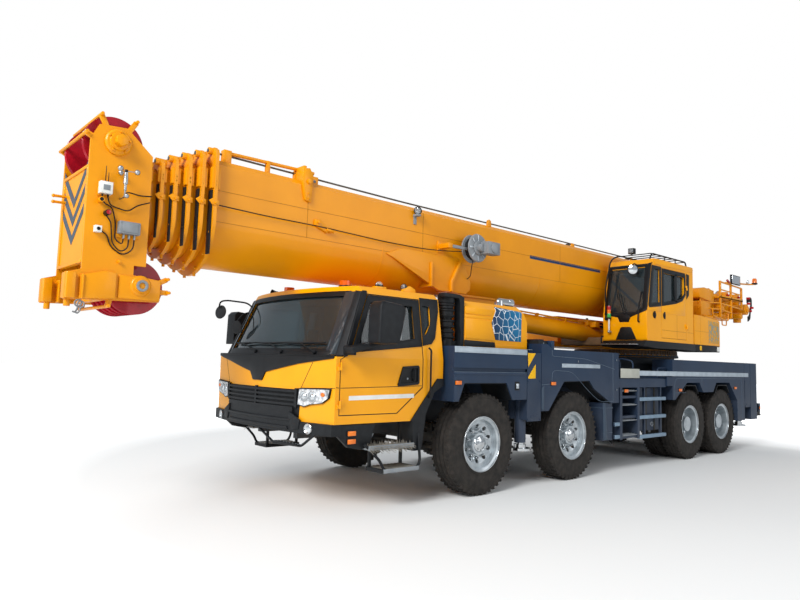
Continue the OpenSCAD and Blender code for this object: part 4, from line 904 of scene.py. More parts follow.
def make_cab_steps():
    """Folding step under the bumper, and the brush mat and step bar under each door."""
    loop = pipe([(2.29, -0.02, 0.84), (2.31, 0.02, 0.80), (2.30, 0.33, 0.665), (2.28, 0.85, 0.68), (2.26, 1.03, 0.80),
                 (2.22, 1.05, 0.84)], 0.014, "grained_plastic", 0.04)
    tread = block(2.255, 2.32, 0.36, 0.83, 0.678, 0.692, "grained_plastic")
    studs = [bar((2.288, y, 0.69), (2.288, y, 0.697), 0.009, "zinc_grey", 8) for y in
             (0.40, 0.46, 0.52, 0.58, 0.64, 0.70, 0.76, 0.80)]
    piece("bumper_step", "carrier", [loop, tread] + studs, 0.002)
    for side, way in (("left", 1), ("right", -1)):
        mat = [block(1.12, 1.76, way * 1.08, way * 1.33, 0.655, 0.672, "zinc_grey"),
               block(1.12, 1.76, way * 1.325, way * 1.336, 0.65, 0.70, "zinc_grey")]
        for k in range(40):
            x = 1.13 + 0.62 * k / 39
            lean = math.sin(k * 2.4) * 0.02
            for z, reach in ((0.675, 0.062), (0.655, 0.05)):
                mat.append(bar((x, way * 1.30, z), (x + lean, way * (1.336 + reach * (0.7 + 0.3 * math.sin(k * 5.1))),
                                                    z + 0.03 * math.sin(k * 3.7) - 0.01), 0.006, "brush_grey", 5, 0.002))
        tops = []
        for row in range(4):
            for k in range(28):
                x = 1.135 + 0.61 * k / 27
                y = 1.11 + 0.06 * row + 0.012 * math.sin(k * 4.3 + row)
                tops.append(bar((x, way * y, 0.665), (x + 0.015 * math.sin(k * 2.9 + row), way * y,
                                                      0.715 + 0.012 * math.sin(k * 1.7 + row * 2)), 0.007,
                                "brush_grey", 5, 0.002))
        piece(f"brush_step_{side}", "carrier", mat + tops, 0)
        hangers = [bar((1.15, way * 1.10, 0.66), (1.15, way * 1.10, 0.93), 0.012, "grained_plastic"),
                   bar((1.74, way * 1.10, 0.66), (1.74, way * 1.10, 0.93), 0.012, "grained_plastic")]
        tube = pipe([(1.80, way * 1.30, 0.72), (1.60, way * 1.33, 0.53), (1.55, way * 1.335, 0.43),
                     (1.06, way * 1.335, 0.43), (1.02, way * 1.33, 0.50), (1.01, way * 1.28, 0.80)], 0.016,
                    "grained_plastic", 0.05)
        rows = [block(1.09 + 0.052 * k, 1.115 + 0.052 * k, way * 1.06, way * 1.345, 0.438, 0.446, "brush_grey")
                for k in range(9)]
        edge = block(1.055, 1.565, way * 1.34, way * 1.354, 0.402, 0.446, "zinc_grey")
        piece(f"cab_step_{side}", "carrier", hangers + [tube, edge] + rows, 0.002)


def make_cab_inside():
    """Dash, wheel, floor and two padded seats, in place of the plain blocks of the CAD model."""
    floor = plate([(1.27, 0.985), (2.13, 0.985), (2.13, 1.04), (1.27, 1.04)], "xz", -0.955, 0.955, "cab_vinyl")
    dash = plate([(2.078, 1.235), (2.078, 1.605), (1.98, 1.612), (1.86, 1.585), (1.842, 1.50), (1.88, 1.40),
                  (1.90, 1.235)], "xz", -0.955, 0.955, "cab_vinyl")
    hump = plate([(2.075, 1.04), (2.075, 1.24), (1.89, 1.24), (1.885, 1.04)], "xz", -0.49, 0.49, "cab_vinyl")
    hood = plate([(1.99, 1.605), (1.87, 1.655), (1.845, 1.64), (1.85, 1.58)], "xz", 0.38, 0.86, "cab_vinyl")
    screen_box = plate([(1.90, 1.60), (1.875, 1.76), (1.86, 1.76), (1.87, 1.60)], "xz", -0.12, 0.20, "matt_black")
    piece("dash_board", "carrier", [floor, dash, hump, hood, screen_box], 0.012, 3, 35, ("cab_interior",))
    wheel = hoop((1.74, 0.62, 1.655), (-0.47, 0, 0.88), 0.215, 0.017, "grained_plastic", 40)
    spokes = [bar((1.74, 0.62 + 0.205 * math.sin(a), 1.655), (1.75, 0.62, 1.648), 0.014, "grained_plastic")
              for a in (math.pi / 2, -math.pi / 2)]
    spokes.append(bar((1.65, 0.62, 1.56), (1.75, 0.62, 1.648), 0.014, "grained_plastic"))
    hub = turned((1.75, 0.62, 1.645), (-0.47, 0, 0.88), [(0, 0), (0.06, 0), (0.05, 0.025), (0, 0.03)],
                 "grained_plastic", 24)
    column = bar((1.755, 0.62, 1.64), (1.87, 0.62, 1.44), 0.03, "grained_plastic")
    piece("steering_wheel", "carrier", [wheel, hub, column] + spokes, 0)
    for side, y in (("left", 0.62), ("right", -0.62)):
        base = [block(1.29, 1.60, y - 0.17, y + 0.17, 1.03, 1.14, "grained_plastic")]
        piece(f"seat_base_{side}", "carrier", base, 0.02, 3)
        make_seat(f"cab_seat_{side}", "carrier", 1.11, 1.66, y, 1.13, 1.98)


def make_seat(name, body, back_x, front_x, y, low, top):
    """A driver's seat: crowned cushion, back and headrest, each a padded block with sewn channels."""
    forms = [("cushion", (back_x + 0.09, front_x), (y - 0.24, y + 0.24), (low, low + 0.17)),
             ("back", (back_x - 0.005, back_x + 0.105), (y - 0.235, y + 0.235), (low + 0.14, top - 0.2)),
             ("headrest", (back_x, back_x + 0.09), (y - 0.13, y + 0.13), (top - 0.19, top - 0.01))]
    for part, xs, ys, zs in forms:
        pad = block(*xs, *ys, *zs, "cab_vinyl")
        choose(pad)
        bpy.ops.object.transform_apply(location=True, rotation=True, scale=True)
        bpy.ops.object.mode_set(mode="EDIT")
        bpy.ops.mesh.select_all(action="SELECT")
        bpy.ops.mesh.subdivide(number_cuts=5)
        bpy.ops.object.mode_set(mode="OBJECT")
        middle = at(sum(xs) / 2, sum(ys) / 2, sum(zs) / 2)
        half = Vector((abs(xs[1] - xs[0]) / 2, abs(ys[1] - ys[0]) / 2, abs(zs[1] - zs[0]) / 2))
        flat = 2 if part == "cushion" else 0
        for vertex in pad.data.vertices:
            from_middle = Vector([(vertex.co[i] - middle[i]) / half[i] for i in range(3)])
            others = [i for i in range(3) if i != flat]
            crown = (1 - from_middle[others[0]] ** 2) * (1 - from_middle[others[1]] ** 2)
            squeeze = 0.72 + 0.34 * crown
            if abs(abs(from_middle[1]) - 1 / 3) < 0.02:
                squeeze -= 0.1
            vertex.co[flat] = middle[flat] + from_middle[flat] * half[flat] * squeeze
            for i in others:
                vertex.co[i] = middle[i] + from_middle[i] * half[i] * (1 - 0.05 * from_middle[others[0]] ** 2
                                                                       * from_middle[others[1]] ** 2)
        bpy.ops.object.modifier_add(type="SUBSURF")
        pad.modifiers[-1].levels = 2
        pad.modifiers[-1].render_levels = 2
        bpy.ops.object.modifier_apply(modifier=pad.modifiers[-1].name)
        done = piece(f"{name}_{part}", body, [pad], 0)

# The boom

BOOM_Y, BOOM_TOP = 0.44, 3.64
HEAD_Y = 0.42
HEAD_PIN, LOW_PIN = (4.18, 3.56), (3.89, 2.23)


def bolts(places, axis, radius, height, finish="zinc_grey", sides=6):
    """Hexagon heads at these places, standing along an axis."""
    way = Vector(axis)
    return [bar(p, tuple(Vector(p) + way * height), radius, finish, sides) for p in places]


def make_boom_head():
    """Bosses and nuts of the head pins, rope keepers, chevrons, fork blocks, boxes, wind gauge, lamps and wiring."""
    for (x, z), r, name in ((HEAD_PIN, 0.125, "head_pin_boss"), (LOW_PIN, 0.10, "low_pin_boss")):
        parts = [turned((x, HEAD_Y, z), (0, 1, 0), [(0, 0), (r, 0), (r, 0.02), (r * 0.86, 0.035), (r * 0.7, 0.035),
                                                    (r * 0.66, 0.055), (0, 0.055)], "boom_enamel", 36)]
        if name == "head_pin_boss":
            parts.append(bar((x, HEAD_Y + 0.05, z), (x, HEAD_Y + 0.13, z), 0.058, "boom_enamel", 6))
            parts += bolts([(x + 0.1 * math.cos(a), HEAD_Y + 0.03, z + 0.1 * math.sin(a)) for a in
                            (0.5, 1.7, 2.9, 4.1, 5.3)], (0, 1, 0), 0.012, 0.02, "boom_enamel")
        else:
            parts.append(turned((x, HEAD_Y + 0.05, z), (0, 1, 0), [(0.03, 0), (0.055, 0), (0.055, 0.02), (0.03, 0.02)],
                                "zinc_grey", 24))
        piece(name + "es", "boom_section_6", parts + mirrored(parts), 0.004)
    keepers = []
    for x, z, root in ((4.34, 3.80, (4.27, 3.66)), (4.46, 3.60, (4.36, 3.55)), (4.02, 3.80, (4.09, 3.68)),
                       (3.63, 2.32, (3.76, 2.25)), (3.615, 2.19, (3.755, 2.19)), (4.17, 2.02, (4.15, 2.12)),
                       (4.10, 2.44, (4.05, 2.40))):
        keepers.append(bar((x, -HEAD_Y - 0.03, z), (x, HEAD_Y + 0.03, z), 0.016, "boom_enamel"))
        for y in (-HEAD_Y + 0.005, HEAD_Y - 0.035):
            dx, dz = x - root[0], z - root[1]
            n = math.hypot(dx, dz)
            ox, oz = -dz / n * 0.024, dx / n * 0.024
            keepers.append(plate([(root[0] + ox, root[1] + oz), (x + ox, z + oz), (x - ox, z - oz),
                                  (root[0] - ox, root[1] - oz)], "xz", y, y + 0.03, "boom_enamel"))
    piece("rope_keepers", "boom_section_6", keepers, 0.003)
    chevrons = []
    for z in (2.60, 2.78, 2.96):
        chevrons.append(plate([(-0.40, z + 0.34), (-0.40, z + 0.43), (0, z + 0.09), (0.40, z + 0.43), (0.40, z + 0.34),
                               (0, z)], "yz", 4.4105, 4.4125, "stripe_slate"))
    piece("head_chevrons", "boom_section_6", chevrons, 0)
    frame = [block(4.375, 4.425, -0.385, 0.385, z, z + 0.03, "boom_enamel") for z in (2.40, 3.28)]
    frame += [block(4.378, 4.422, way * 0.355, way * 0.388, 2.40, 3.30, "boom_enamel") for way in (1, -1)]
    for way in (1, -1):
        frame += [block(3.86, 3.89, way * 0.30, way * 0.415, 2.5, 3.3, "boom_enamel"),
                  plate([(4.12, 2.09), (4.12, 2.33), (4.22, 2.34), (4.43, 2.28), (4.43, 2.07)], "xz", way * HEAD_Y,
                        way * 0.455, "boom_enamel"),
                  plate([(3.70, 2.10), (3.70, 2.30), (4.09, 2.32), (4.09, 2.10)], "xz", way * HEAD_Y, way * 0.438,
                        "boom_enamel"),
                  block(4.47, 4.548, way * 0.30, way * 0.47, 2.07, 2.30, "boom_enamel"),
                  block(4.40, 4.42, way * 0.28, way * 0.47, 2.07, 2.29, "boom_enamel"),
                  bar((4.50, way * 0.34, 2.0), (4.50, way * 0.34, 2.08), 0.028, "boom_enamel")]
    frame.append(block(4.20, 4.26, -0.39, 0.39, 2.07, 2.10, "boom_enamel"))
    frame.append(block(3.74, 3.80, -0.39, 0.39, 2.28, 2.31, "boom_enamel"))
    piece("head_stiffeners", "boom_section_6", frame, 0.006, 3)
    eyes = [bar((4.40, -0.30, z), (4.52, -0.30, z - 0.005), 0.014, "boom_enamel") for z in (3.12, 3.06)]
    eyes += [ball((4.525, -0.30, z), 0.018, "boom_enamel", 12) for z in (3.115, 3.055)]
    piece("head_hook_pins", "boom_section_6", eyes, 0)
    shackles = []
    for y, x in ((0.18, 4.36), (0.05, 4.30)):
        shackles.append(hoop((x, y, 2.045), (0, 1, 0), 0.03, 0.008, "zinc_grey", 20))
        shackles.append(pipe([(x, y, 2.015), (x + 0.01, y + 0.01, 1.98), (x + 0.03, y + 0.02, 1.955),
                              (x + 0.05, y + 0.02, 1.965)], 0.008, "zinc_grey", 0.02))
    piece("head_shackles", "boom_section_6", shackles, 0)
    box = [block(4.222, 4.33, 0.425, 0.50, 3.045, 3.155, "white_enamel"),
           block(4.215, 4.335, 0.42, 0.432, 3.03, 3.17, "boom_enamel"),
           bar((4.28, 0.46, 3.15), (4.28, 0.46, 3.31), 0.005, "matt_black", 8, 0.003),
           bar((4.255, 0.46, 3.15), (4.255, 0.46, 3.25), 0.005, "matt_black", 8, 0.003),
           bar((4.30, 0.46, 3.02), (4.30, 0.46, 3.05), 0.009, "matt_black", 10),
           bar((4.25, 0.46, 3.02), (4.25, 0.46, 3.05), 0.009, "matt_black", 10),
           block(4.245, 4.305, 0.498, 0.503, 3.075, 3.125, "zinc_grey")]
    piece("radio_box", "boom_section_6", box, 0.004)
    grey = [block(3.95, 4.14, 0.43, 0.505, 2.70, 2.815, "zinc_grey"), block(3.93, 4.15, 0.42, 0.435, 2.67, 2.83,
                                                                         "boom_enamel"),
            block(3.975, 4.115, 0.50, 0.512, 2.715, 2.80, "zinc_grey")]
    grey += [bar((x, 0.465, 2.655), (x, 0.465, 2.705), 0.011, "satin_aluminium", 12) for x in (3.99, 4.04, 4.09)]
    grey += bolts([(x, 0.505, z) for x in (3.962, 4.128) for z in (2.712, 2.803)], (0, 1, 0), 0.006, 0.006)
    piece("junction_box", "boom_section_6", grey, 0.006, 3)
    gauge = [pipe([(4.13, 0.42, 3.03), (4.13, 0.545, 3.03), (4.13, 0.55, 3.09)], 0.008, "satin_aluminium", 0.03),
             bar((4.13, 0.55, 3.09), (4.13, 0.55, 3.15), 0.012, "satin_aluminium"),
             bar((4.13, 0.55, 3.15), (4.13, 0.55, 3.26), 0.022, "satin_aluminium", 20, 0.016),
             bar((4.13, 0.55, 3.26), (4.13, 0.55, 3.285), 0.014, "matt_black")]
    for k in range(3):
        a = 0.7 + math.tau * k / 3
        gauge.append(bar((4.13, 0.55, 3.272), (4.13 + 0.085 * math.cos(a), 0.55 + 0.085 * math.sin(a), 3.272), 0.004,
                         "satin_aluminium", 8))
        gauge.append(ball((4.13 + 0.095 * math.cos(a), 0.55 + 0.095 * math.sin(a), 3.272), 0.026, "satin_aluminium",
                          14))
    gauge.append(ball((4.13, 0.60, 3.03), 0.022, "satin_aluminium", 12))
    piece("wind_gauge", "boom_section_6", gauge, 0)
    lamps = [bar((4.245, 0.42, 2.875), (4.245, 0.50, 2.875), 0.026, "matt_black", 20),
             bar((4.245, 0.498, 2.875), (4.245, 0.508, 2.875), 0.021, "red_lens", 20),
             bar((4.305, 0.42, 2.985), (4.312, 0.50, 2.985), 0.024, "boom_enamel", 20),
             bar((4.312, 0.499, 2.985), (4.312, 0.502, 2.985), 0.018, "matt_black", 20),
             block(4.285, 4.345, 0.42, 0.475, 2.685, 2.745, "white_enamel"),
             bar((4.315, 0.47, 2.715), (4.315, 0.482, 2.715), 0.016, "matt_black", 16)]
    piece("head_lamps", "boom_section_6", lamps, 0.003)
    wires = [[(4.30, 0.46, 3.02), (4.28, 0.45, 2.96), (4.20, 0.44, 2.94), (4.16, 0.44, 2.80), (4.16, 0.44, 2.64),
              (4.09, 0.45, 2.60), (4.09, 0.465, 2.66)],
             [(4.25, 0.46, 3.02), (4.22, 0.44, 2.95), (4.05, 0.44, 2.92), (3.98, 0.44, 2.99), (3.86, 0.45, 3.04)],
             [(4.13, 0.55, 3.05), (4.08, 0.47, 3.10), (3.95, 0.44, 3.09), (3.85, 0.46, 3.10)],
             [(4.245, 0.44, 2.85), (4.20, 0.435, 2.80), (4.18, 0.435, 2.60), (4.10, 0.44, 2.53), (4.04, 0.45, 2.57),
              (4.04, 0.465, 2.66)],
             [(4.33, 0.44, 2.72), (4.22, 0.43, 2.68), (4.20, 0.43, 2.58), (4.08, 0.43, 2.50), (3.99, 0.45, 2.56),
              (3.99, 0.465, 2.66)]]
    piece("head_wiring", "boom_section_6", [pipe(w, 0.006, "hose_rubber", 0.05, 2) for w in wires], 0)


def make_collars():
    """Slide pad housings, guide bosses, cable tabs and nuts on the six collars, and a black strip of painted shade in
    each collar's gap.
    """
    for i in range(6):
        body = f"boom_section_{i + 1}"
        x = 3.212 + 0.12 * i
        y = 0.535 - 0.0475 * i
        top = 3.735 - 0.0475 * i
        wall = BOOM_Y - 0.038 * i
        half = []
        half.append(bar((x - 0.035, wall - 0.02, top - 0.03), (x + 0.075, wall - 0.02, top - 0.03), 0.036,
                        "boom_enamel", 20))
        half.append(bar((x + 0.07, wall - 0.02, top - 0.03), (x + 0.082, wall - 0.02, top - 0.03), 0.02,
                        "rope_steel", 16))
        half.append(block(x - 0.03, x + 0.06, wall + 0.004, y - 0.012, 3.30, 3.52 - 0.02 * i, "boom_enamel"))
        half += bolts([(x + 0.015, y - 0.014, z) for z in (3.33, 3.37)], (0, 1, 0), 0.011, 0.014, "boom_enamel")
        # A black strip down the gap between the collar and the next section: painted shade where the collar overhangs
        half.append(block(x + 0.036, x + 0.052, wall - 0.01, y - 0.03, 2.62 + 0.03 * i, 3.28, "grained_plastic"))
        half.append(plate([(x - 0.02, 3.12), (x - 0.02, 3.17), (x + 0.05, 3.19), (x + 0.09, 3.16), (x + 0.05, 3.12)],
                          "xz", y - 0.006, y + 0.008, "boom_enamel"))
        half.append(bar((x + 0.02, y, 3.145), (x + 0.02, y + 0.025, 3.145), 0.014, "boom_enamel", 12))
        for a in (-0.25, -0.75, -1.2):
            half += bolts([(x + 0.036, (y - 0.035) * math.cos(a), 2.97 + (y - 0.035) * math.sin(a))], (1, 0, 0),
                          0.013, 0.016, "boom_enamel")
        low = [bar((x + 0.018, 0.12, 2.97 - y - 0.012), (x + 0.018, 0.12, 2.97 - y + 0.05), 0.016, "boom_enamel", 12)]
        piece(f"collar_fittings_{i + 1}", body, half + low + mirrored(half + low), 0.003)


def make_boom_sides():
    """Painted seam shade along the weld lines, rod on top, cable, brackets, doubler plates over the lift eye, stripe,
    lamp, rope guides and rollers.
    """
    lines = []
    # The darker lines along the welds are painted shade of the weld grooves
    for way in (1, -1):
        y = way * BOOM_Y
        for z in (3.30, 2.972):
            lines.append(block(-7.1, 3.2, y, y + way * 0.0022, z, z + 0.005, "seam_shade"))
        for x in (2.05, 0.21, -2.95, -5.2):
            lines.append(block(x, x + 0.006, y, y + way * 0.0022, 2.972, 3.575, "seam_shade"))
    piece("boom_weld_shade_lines", "boom_section_1", lines, 0)
    parts = [pipe([(3.06, 0.30, 3.765), (1.95, 0.30, 3.785), (1.90, 0.30, 3.78)], 0.021, "boom_enamel", 0.02),
             block(2.98, 3.07, 0.26, 0.34, 3.635, 3.79, "boom_enamel"),
             block(2.50, 2.54, 0.27, 0.33, 3.635, 3.79, "boom_enamel"),
             plate([(1.90, 3.63), (1.90, 3.80), (1.99, 3.81), (2.16, 3.76), (2.16, 3.63)], "xz", 0.25, 0.29,
                   "boom_enamel"),
             plate([(2.03, 3.38), (2.01, 3.70), (2.06, 3.78), (2.13, 3.77), (2.15, 3.60), (2.11, 3.40)], "xz",
                   BOOM_Y - 0.01, BOOM_Y + 0.03, "boom_enamel"),
             plate([(2.10, 3.60), (2.10, 3.80), (2.14, 3.80), (2.14, 3.60)], "xz", 0.24, BOOM_Y + 0.02, "boom_enamel"),
             bar((2.07, BOOM_Y + 0.02, 3.62), (2.07, BOOM_Y + 0.055, 3.62), 0.03, "boom_enamel", 20)]
    parts += bolts([(2.07, BOOM_Y + 0.03, z) for z in (3.42, 3.48)], (0, 1, 0), 0.014, 0.014, "boom_enamel")
    piece("top_rod", "boom_section_1", parts, 0.005)
    anchor = [plate([(1.78, 3.06), (1.96, 3.13), (1.96, 3.20), (1.90, 3.205), (1.76, 3.11)], "xz", BOOM_Y,
                    BOOM_Y + 0.03, "boom_enamel"),
              bar((1.80, BOOM_Y + 0.03, 3.10), (1.70, BOOM_Y + 0.03, 3.09), 0.018, "boom_enamel", 16),
              bar((1.92, BOOM_Y + 0.02, 3.17), (1.92, BOOM_Y + 0.055, 3.17), 0.02, "boom_enamel", 16)]
    cable = pipe([(3.20, 0.50, 3.135), (2.60, 0.466, 3.125), (1.85, 0.474, 3.12), (0.9, 0.462, 3.09),
                  (0.26, 0.46, 3.09), (-0.10, 0.52, 3.10), (-0.38, 0.60, 3.12)], 0.006, "hose_rubber", 0.2)
    piece("cable_anchor", "boom_section_1", anchor, 0.004)
    piece("reel_cable", "boom_section_1", [cable], 0)
    # Doubler plates that carry the lift cylinder's eye under the boom
    shape = [(0.86, 2.945), (0.76, 2.915), (-0.083, 2.565), (-0.63, 2.558), (-0.72, 2.62), (-0.735, 2.72),
             (-0.62, 2.93), (-0.46, 3.05), (0.60, 3.05)]
    doubler = [plate(shape, "xz", BOOM_Y - 0.02, BOOM_Y + 0.022, "boom_enamel"),
               block(0.055, 0.085, 0.20, BOOM_Y + 0.055, 2.60, 2.93, "boom_enamel"),
               plate([(-0.30, 2.565), (-0.30, 2.70), (-0.46, 3.0), (-0.50, 3.0), (-0.34, 2.69), (-0.34, 2.565)], "xz",
                     0.20, BOOM_Y + 0.06, "boom_enamel"),
               plate([(-2.15, 2.60), (-2.0, 2.565), (-0.4, 2.555), (-0.4, 2.60), (-1.9, 2.61)], "xz", 0.10, 0.22,
                     "boom_enamel")]
    piece("lift_doublers", "boom_section_1", doubler + mirrored(doubler), 0.006, 3)
    belly = []
    for x in (0.9, -2.4, -4.4):
        belly.append(turned((x, 0, 2.97), (1, 0, 0), [(BOOM_Y - 0.002, 0), (BOOM_Y + 0.004, 0),
                                                     (BOOM_Y + 0.004, 0.012), (BOOM_Y - 0.002, 0.012)],
                            "boom_enamel", 64))
    piece("belly_welds", "boom_section_1", belly, 0)
    stripe = [block(-4.18, -2.13, BOOM_Y, BOOM_Y + 0.002, 3.262, 3.315, "stripe_blue")]
    piece("boom_stripe", "boom_section_1", stripe + mirrored(stripe), 0)
    lamp = [block(0.34, 0.40, BOOM_Y, BOOM_Y + 0.09, 3.50, 3.53, "zinc_grey"),
            block(0.345, 0.395, BOOM_Y, BOOM_Y + 0.012, 3.40, 3.53, "zinc_grey"),
            turned((0.37, BOOM_Y + 0.06, 3.575), (0.8, 0.5, -0.25), [(0, -0.05), (0.035, -0.045), (0.052, -0.01),
                                                                    (0.055, 0.012), (0.048, 0.016), (0, 0.01)],
                   "matt_black", 24),
            turned((0.377, BOOM_Y + 0.064, 3.573), (0.8, 0.5, -0.25), [(0, 0.006), (0.046, 0.006), (0.03, 0.014),
                                                                      (0, 0.016)], "lamp_glass", 24)]
    piece("boom_work_lamp", "boom_section_1", lamp, 0.002)
    tab = [plate([(-1.16, 3.63), (-1.17, 3.72), (-1.20, 3.74), (-1.24, 3.72), (-1.25, 3.63)], "xz", 0.36, 0.39,
                 "boom_enamel")]
    for x in (-3.4, -5.4):
        tab.append(plate([(x, 3.63), (x - 0.01, 3.70), (x - 0.09, 3.70), (x - 0.10, 3.63)], "xz", 0.34, 0.36,
                         "boom_enamel"))
        tab.append(bar((x - 0.05, 0.22, 3.69), (x - 0.05, 0.34, 3.69), 0.02, "rope_steel", 16))
    piece("rope_guides", "boom_section_1", tab, 0.003)
    ropes = [pipe([(-6.9, y, 3.70), (-3.0, y, 3.712), (0.5, y, 3.712), (3.22, y, 3.745)], 0.011, "rope_steel", 0.3)
             for y in (0.28, -0.28)]
    piece("hoist_rope_runs", "boom_section_1", ropes, 0)
    for y, x in ((0.28, 1.9), (-0.28, 1.9)):
        roll = [block(x - 0.05, x + 0.05, y - 0.05, y - 0.04, 3.635, 3.74, "boom_enamel"),
                block(x - 0.05, x + 0.05, y + 0.04, y + 0.05, 3.635, 3.74, "boom_enamel"),
                bar((x, y - 0.05, 3.68), (x, y + 0.05, 3.68), 0.022, "zinc_grey", 16)]
        piece("rope_roller_left" if y > 0 else "rope_roller_right", "boom_section_1", roll, 0.002)


def make_cable_reel():
    """Spring reel of the length cable: two flanges with spokes, wound cable, motor housing and its arm."""
    x, y, z = -0.62, 0.62, 3.19
    drum = turned((x, y, z), (0, 1, 0),
                  [(0.03, -0.075), (0.19, -0.075), (0.20, -0.06), (0.19, -0.05), (0.135, -0.05), (0.135, 0.05),
                   (0.19, 0.05), (0.20, 0.06), (0.19, 0.075), (0.03, 0.075)], "zinc_grey", 40)
    wound = [hoop((x, y - 0.038 + 0.019 * k, z), (0, 1, 0), 0.145 + 0.004 * (k % 2), 0.011, "hose_rubber", 40)
             for k in range(5)]
    disc = turned((x, y + 0.078, z), (0, 1, 0), [(0, 0), (0.10, 0), (0.095, 0.012), (0.05, 0.02), (0, 0.02)],
                  "zinc_grey", 32)
    spokes = ring_of(block(x + 0.06, x + 0.18, y + 0.072, y + 0.082, z - 0.012, z + 0.012, "satin_aluminium"), 8,
                     (x, y, z), (0, 1, 0))
    hub = [bar((x, y + 0.08, z), (x, y + 0.16, z), 0.055, "zinc_grey", 24),
           bar((x, 0.44, z), (x, y, z), 0.04, "zinc_grey", 24)]
    box = [block(x - 0.27, x - 0.02, y + 0.10, y + 0.24, z - 0.085, z + 0.085, "zinc_grey"),
           bar((x - 0.15, y + 0.235, z), (x - 0.15, y + 0.255, z), 0.07, "zinc_grey", 24),
           block(x - 0.29, x - 0.25, y + 0.11, y + 0.20, z - 0.06, z + 0.06, "zinc_grey")]
    arm = [block(-0.47, -0.10, y - 0.015, y + 0.015, z - 0.045, z - 0.005, "zinc_grey"),
           block(-0.16, -0.08, 0.43, y + 0.02, z - 0.055, z + 0.01, "boom_enamel"),
           plate([(-0.06, z - 0.10), (-0.06, z + 0.05), (-0.20, z + 0.05), (-0.20, z - 0.10)], "xz", 0.44, 0.455,
                 "boom_enamel")]
    tail = pipe([(x + 0.02, y, z - 0.15), (x + 0.03, y - 0.02, z - 0.26), (x - 0.04, y - 0.10, z - 0.38),
                 (x - 0.03, 0.45, z - 0.42)], 0.006, "hose_rubber", 0.1)
    piece("cable_reel", "boom_section_1", [drum, disc, tail] + wound + spokes + hub + box + arm, 0.004)


def make_lift_fittings():
    """Valve block, pipe and hoses on the lift cylinder."""
    def top(x):
        return 2.16 + (x + 5.5) * 0.04146

    parts = [block(-4.55, -4.28, -0.08, 0.14, top(-4.4) + 0.13, top(-4.4) + 0.235, "boom_enamel"),
             block(-4.50, -4.36, 0.12, 0.24, top(-4.4) + 0.10, top(-4.4) + 0.20, "boom_enamel"),
             bar((-4.43, 0.02, top(-4.4) + 0.22), (-4.43, 0.02, top(-4.4) + 0.275), 0.025, "zinc_grey", 6),
             bar((-4.28, 0.05, top(-4.3) + 0.18), (-4.20, 0.05, top(-4.3) + 0.18), 0.028, "boom_enamel", 16)]
    parts.append(pipe([(-4.22, 0.05, top(-4.2) + 0.18), (-4.0, 0.09, top(-4.0) + 0.17),
                       (-1.95, 0.09, top(-1.95) + 0.17), (-1.88, 0.08, top(-1.88) + 0.10)], 0.014, "boom_enamel"))
    for x in (-3.6, -2.8, -2.1):
        parts.append(block(x - 0.02, x + 0.02, 0.06, 0.12, top(x) + 0.12, top(x) + 0.188, "boom_enamel"))
    parts.append(turned((-1.905, 0, top(-1.905)), (0.99914, 0, 0.04142),
                        [(0.111, 0), (0.165, 0), (0.165, 0.05), (0.14, 0.075), (0.111, 0.075)], "boom_enamel", 40))
    for x in (-5.1, -2.3):
        parts.append(turned((x, 0, top(x)), (0.99914, 0, 0.04142),
                            [(0.155, 0), (0.166, 0), (0.166, 0.05), (0.155, 0.05)], "boom_enamel", 40))
    piece("lift_valve_block", "lift_barrel", parts, 0.005)
    hoses = []
    for k, (y, z) in enumerate(((0.20, 0.17), (0.24, 0.12), (-0.05, 0.2))):
        start = (-4.45 - 0.05 * k, y, top(-4.45) + z)
        hoses.append(pipe([start, (-4.62, y + 0.04, top(-4.6) + z + 0.02), (-4.85, 0.26 + 0.03 * k, 2.22),
                           (-4.95, 0.30 + 0.03 * k, 2.06), (-5.05, 0.32 + 0.03 * k, 2.0)], 0.016, "hose_rubber", 0.12))
    piece("lift_hoses", "lift_barrel", hoses, 0, into=("superstructure", (-4.62, 0.24, 2.36), (-4.95, 0.30, 2.06)))

# The carrier behind the cab

BOX_Y = 1.4
ARCH_TOP = 1.354


def hood_wall(y, z):
    """The hood's side: upright, then leaning in along its cut corner."""
    return y - max(0.0, z - 2.28)


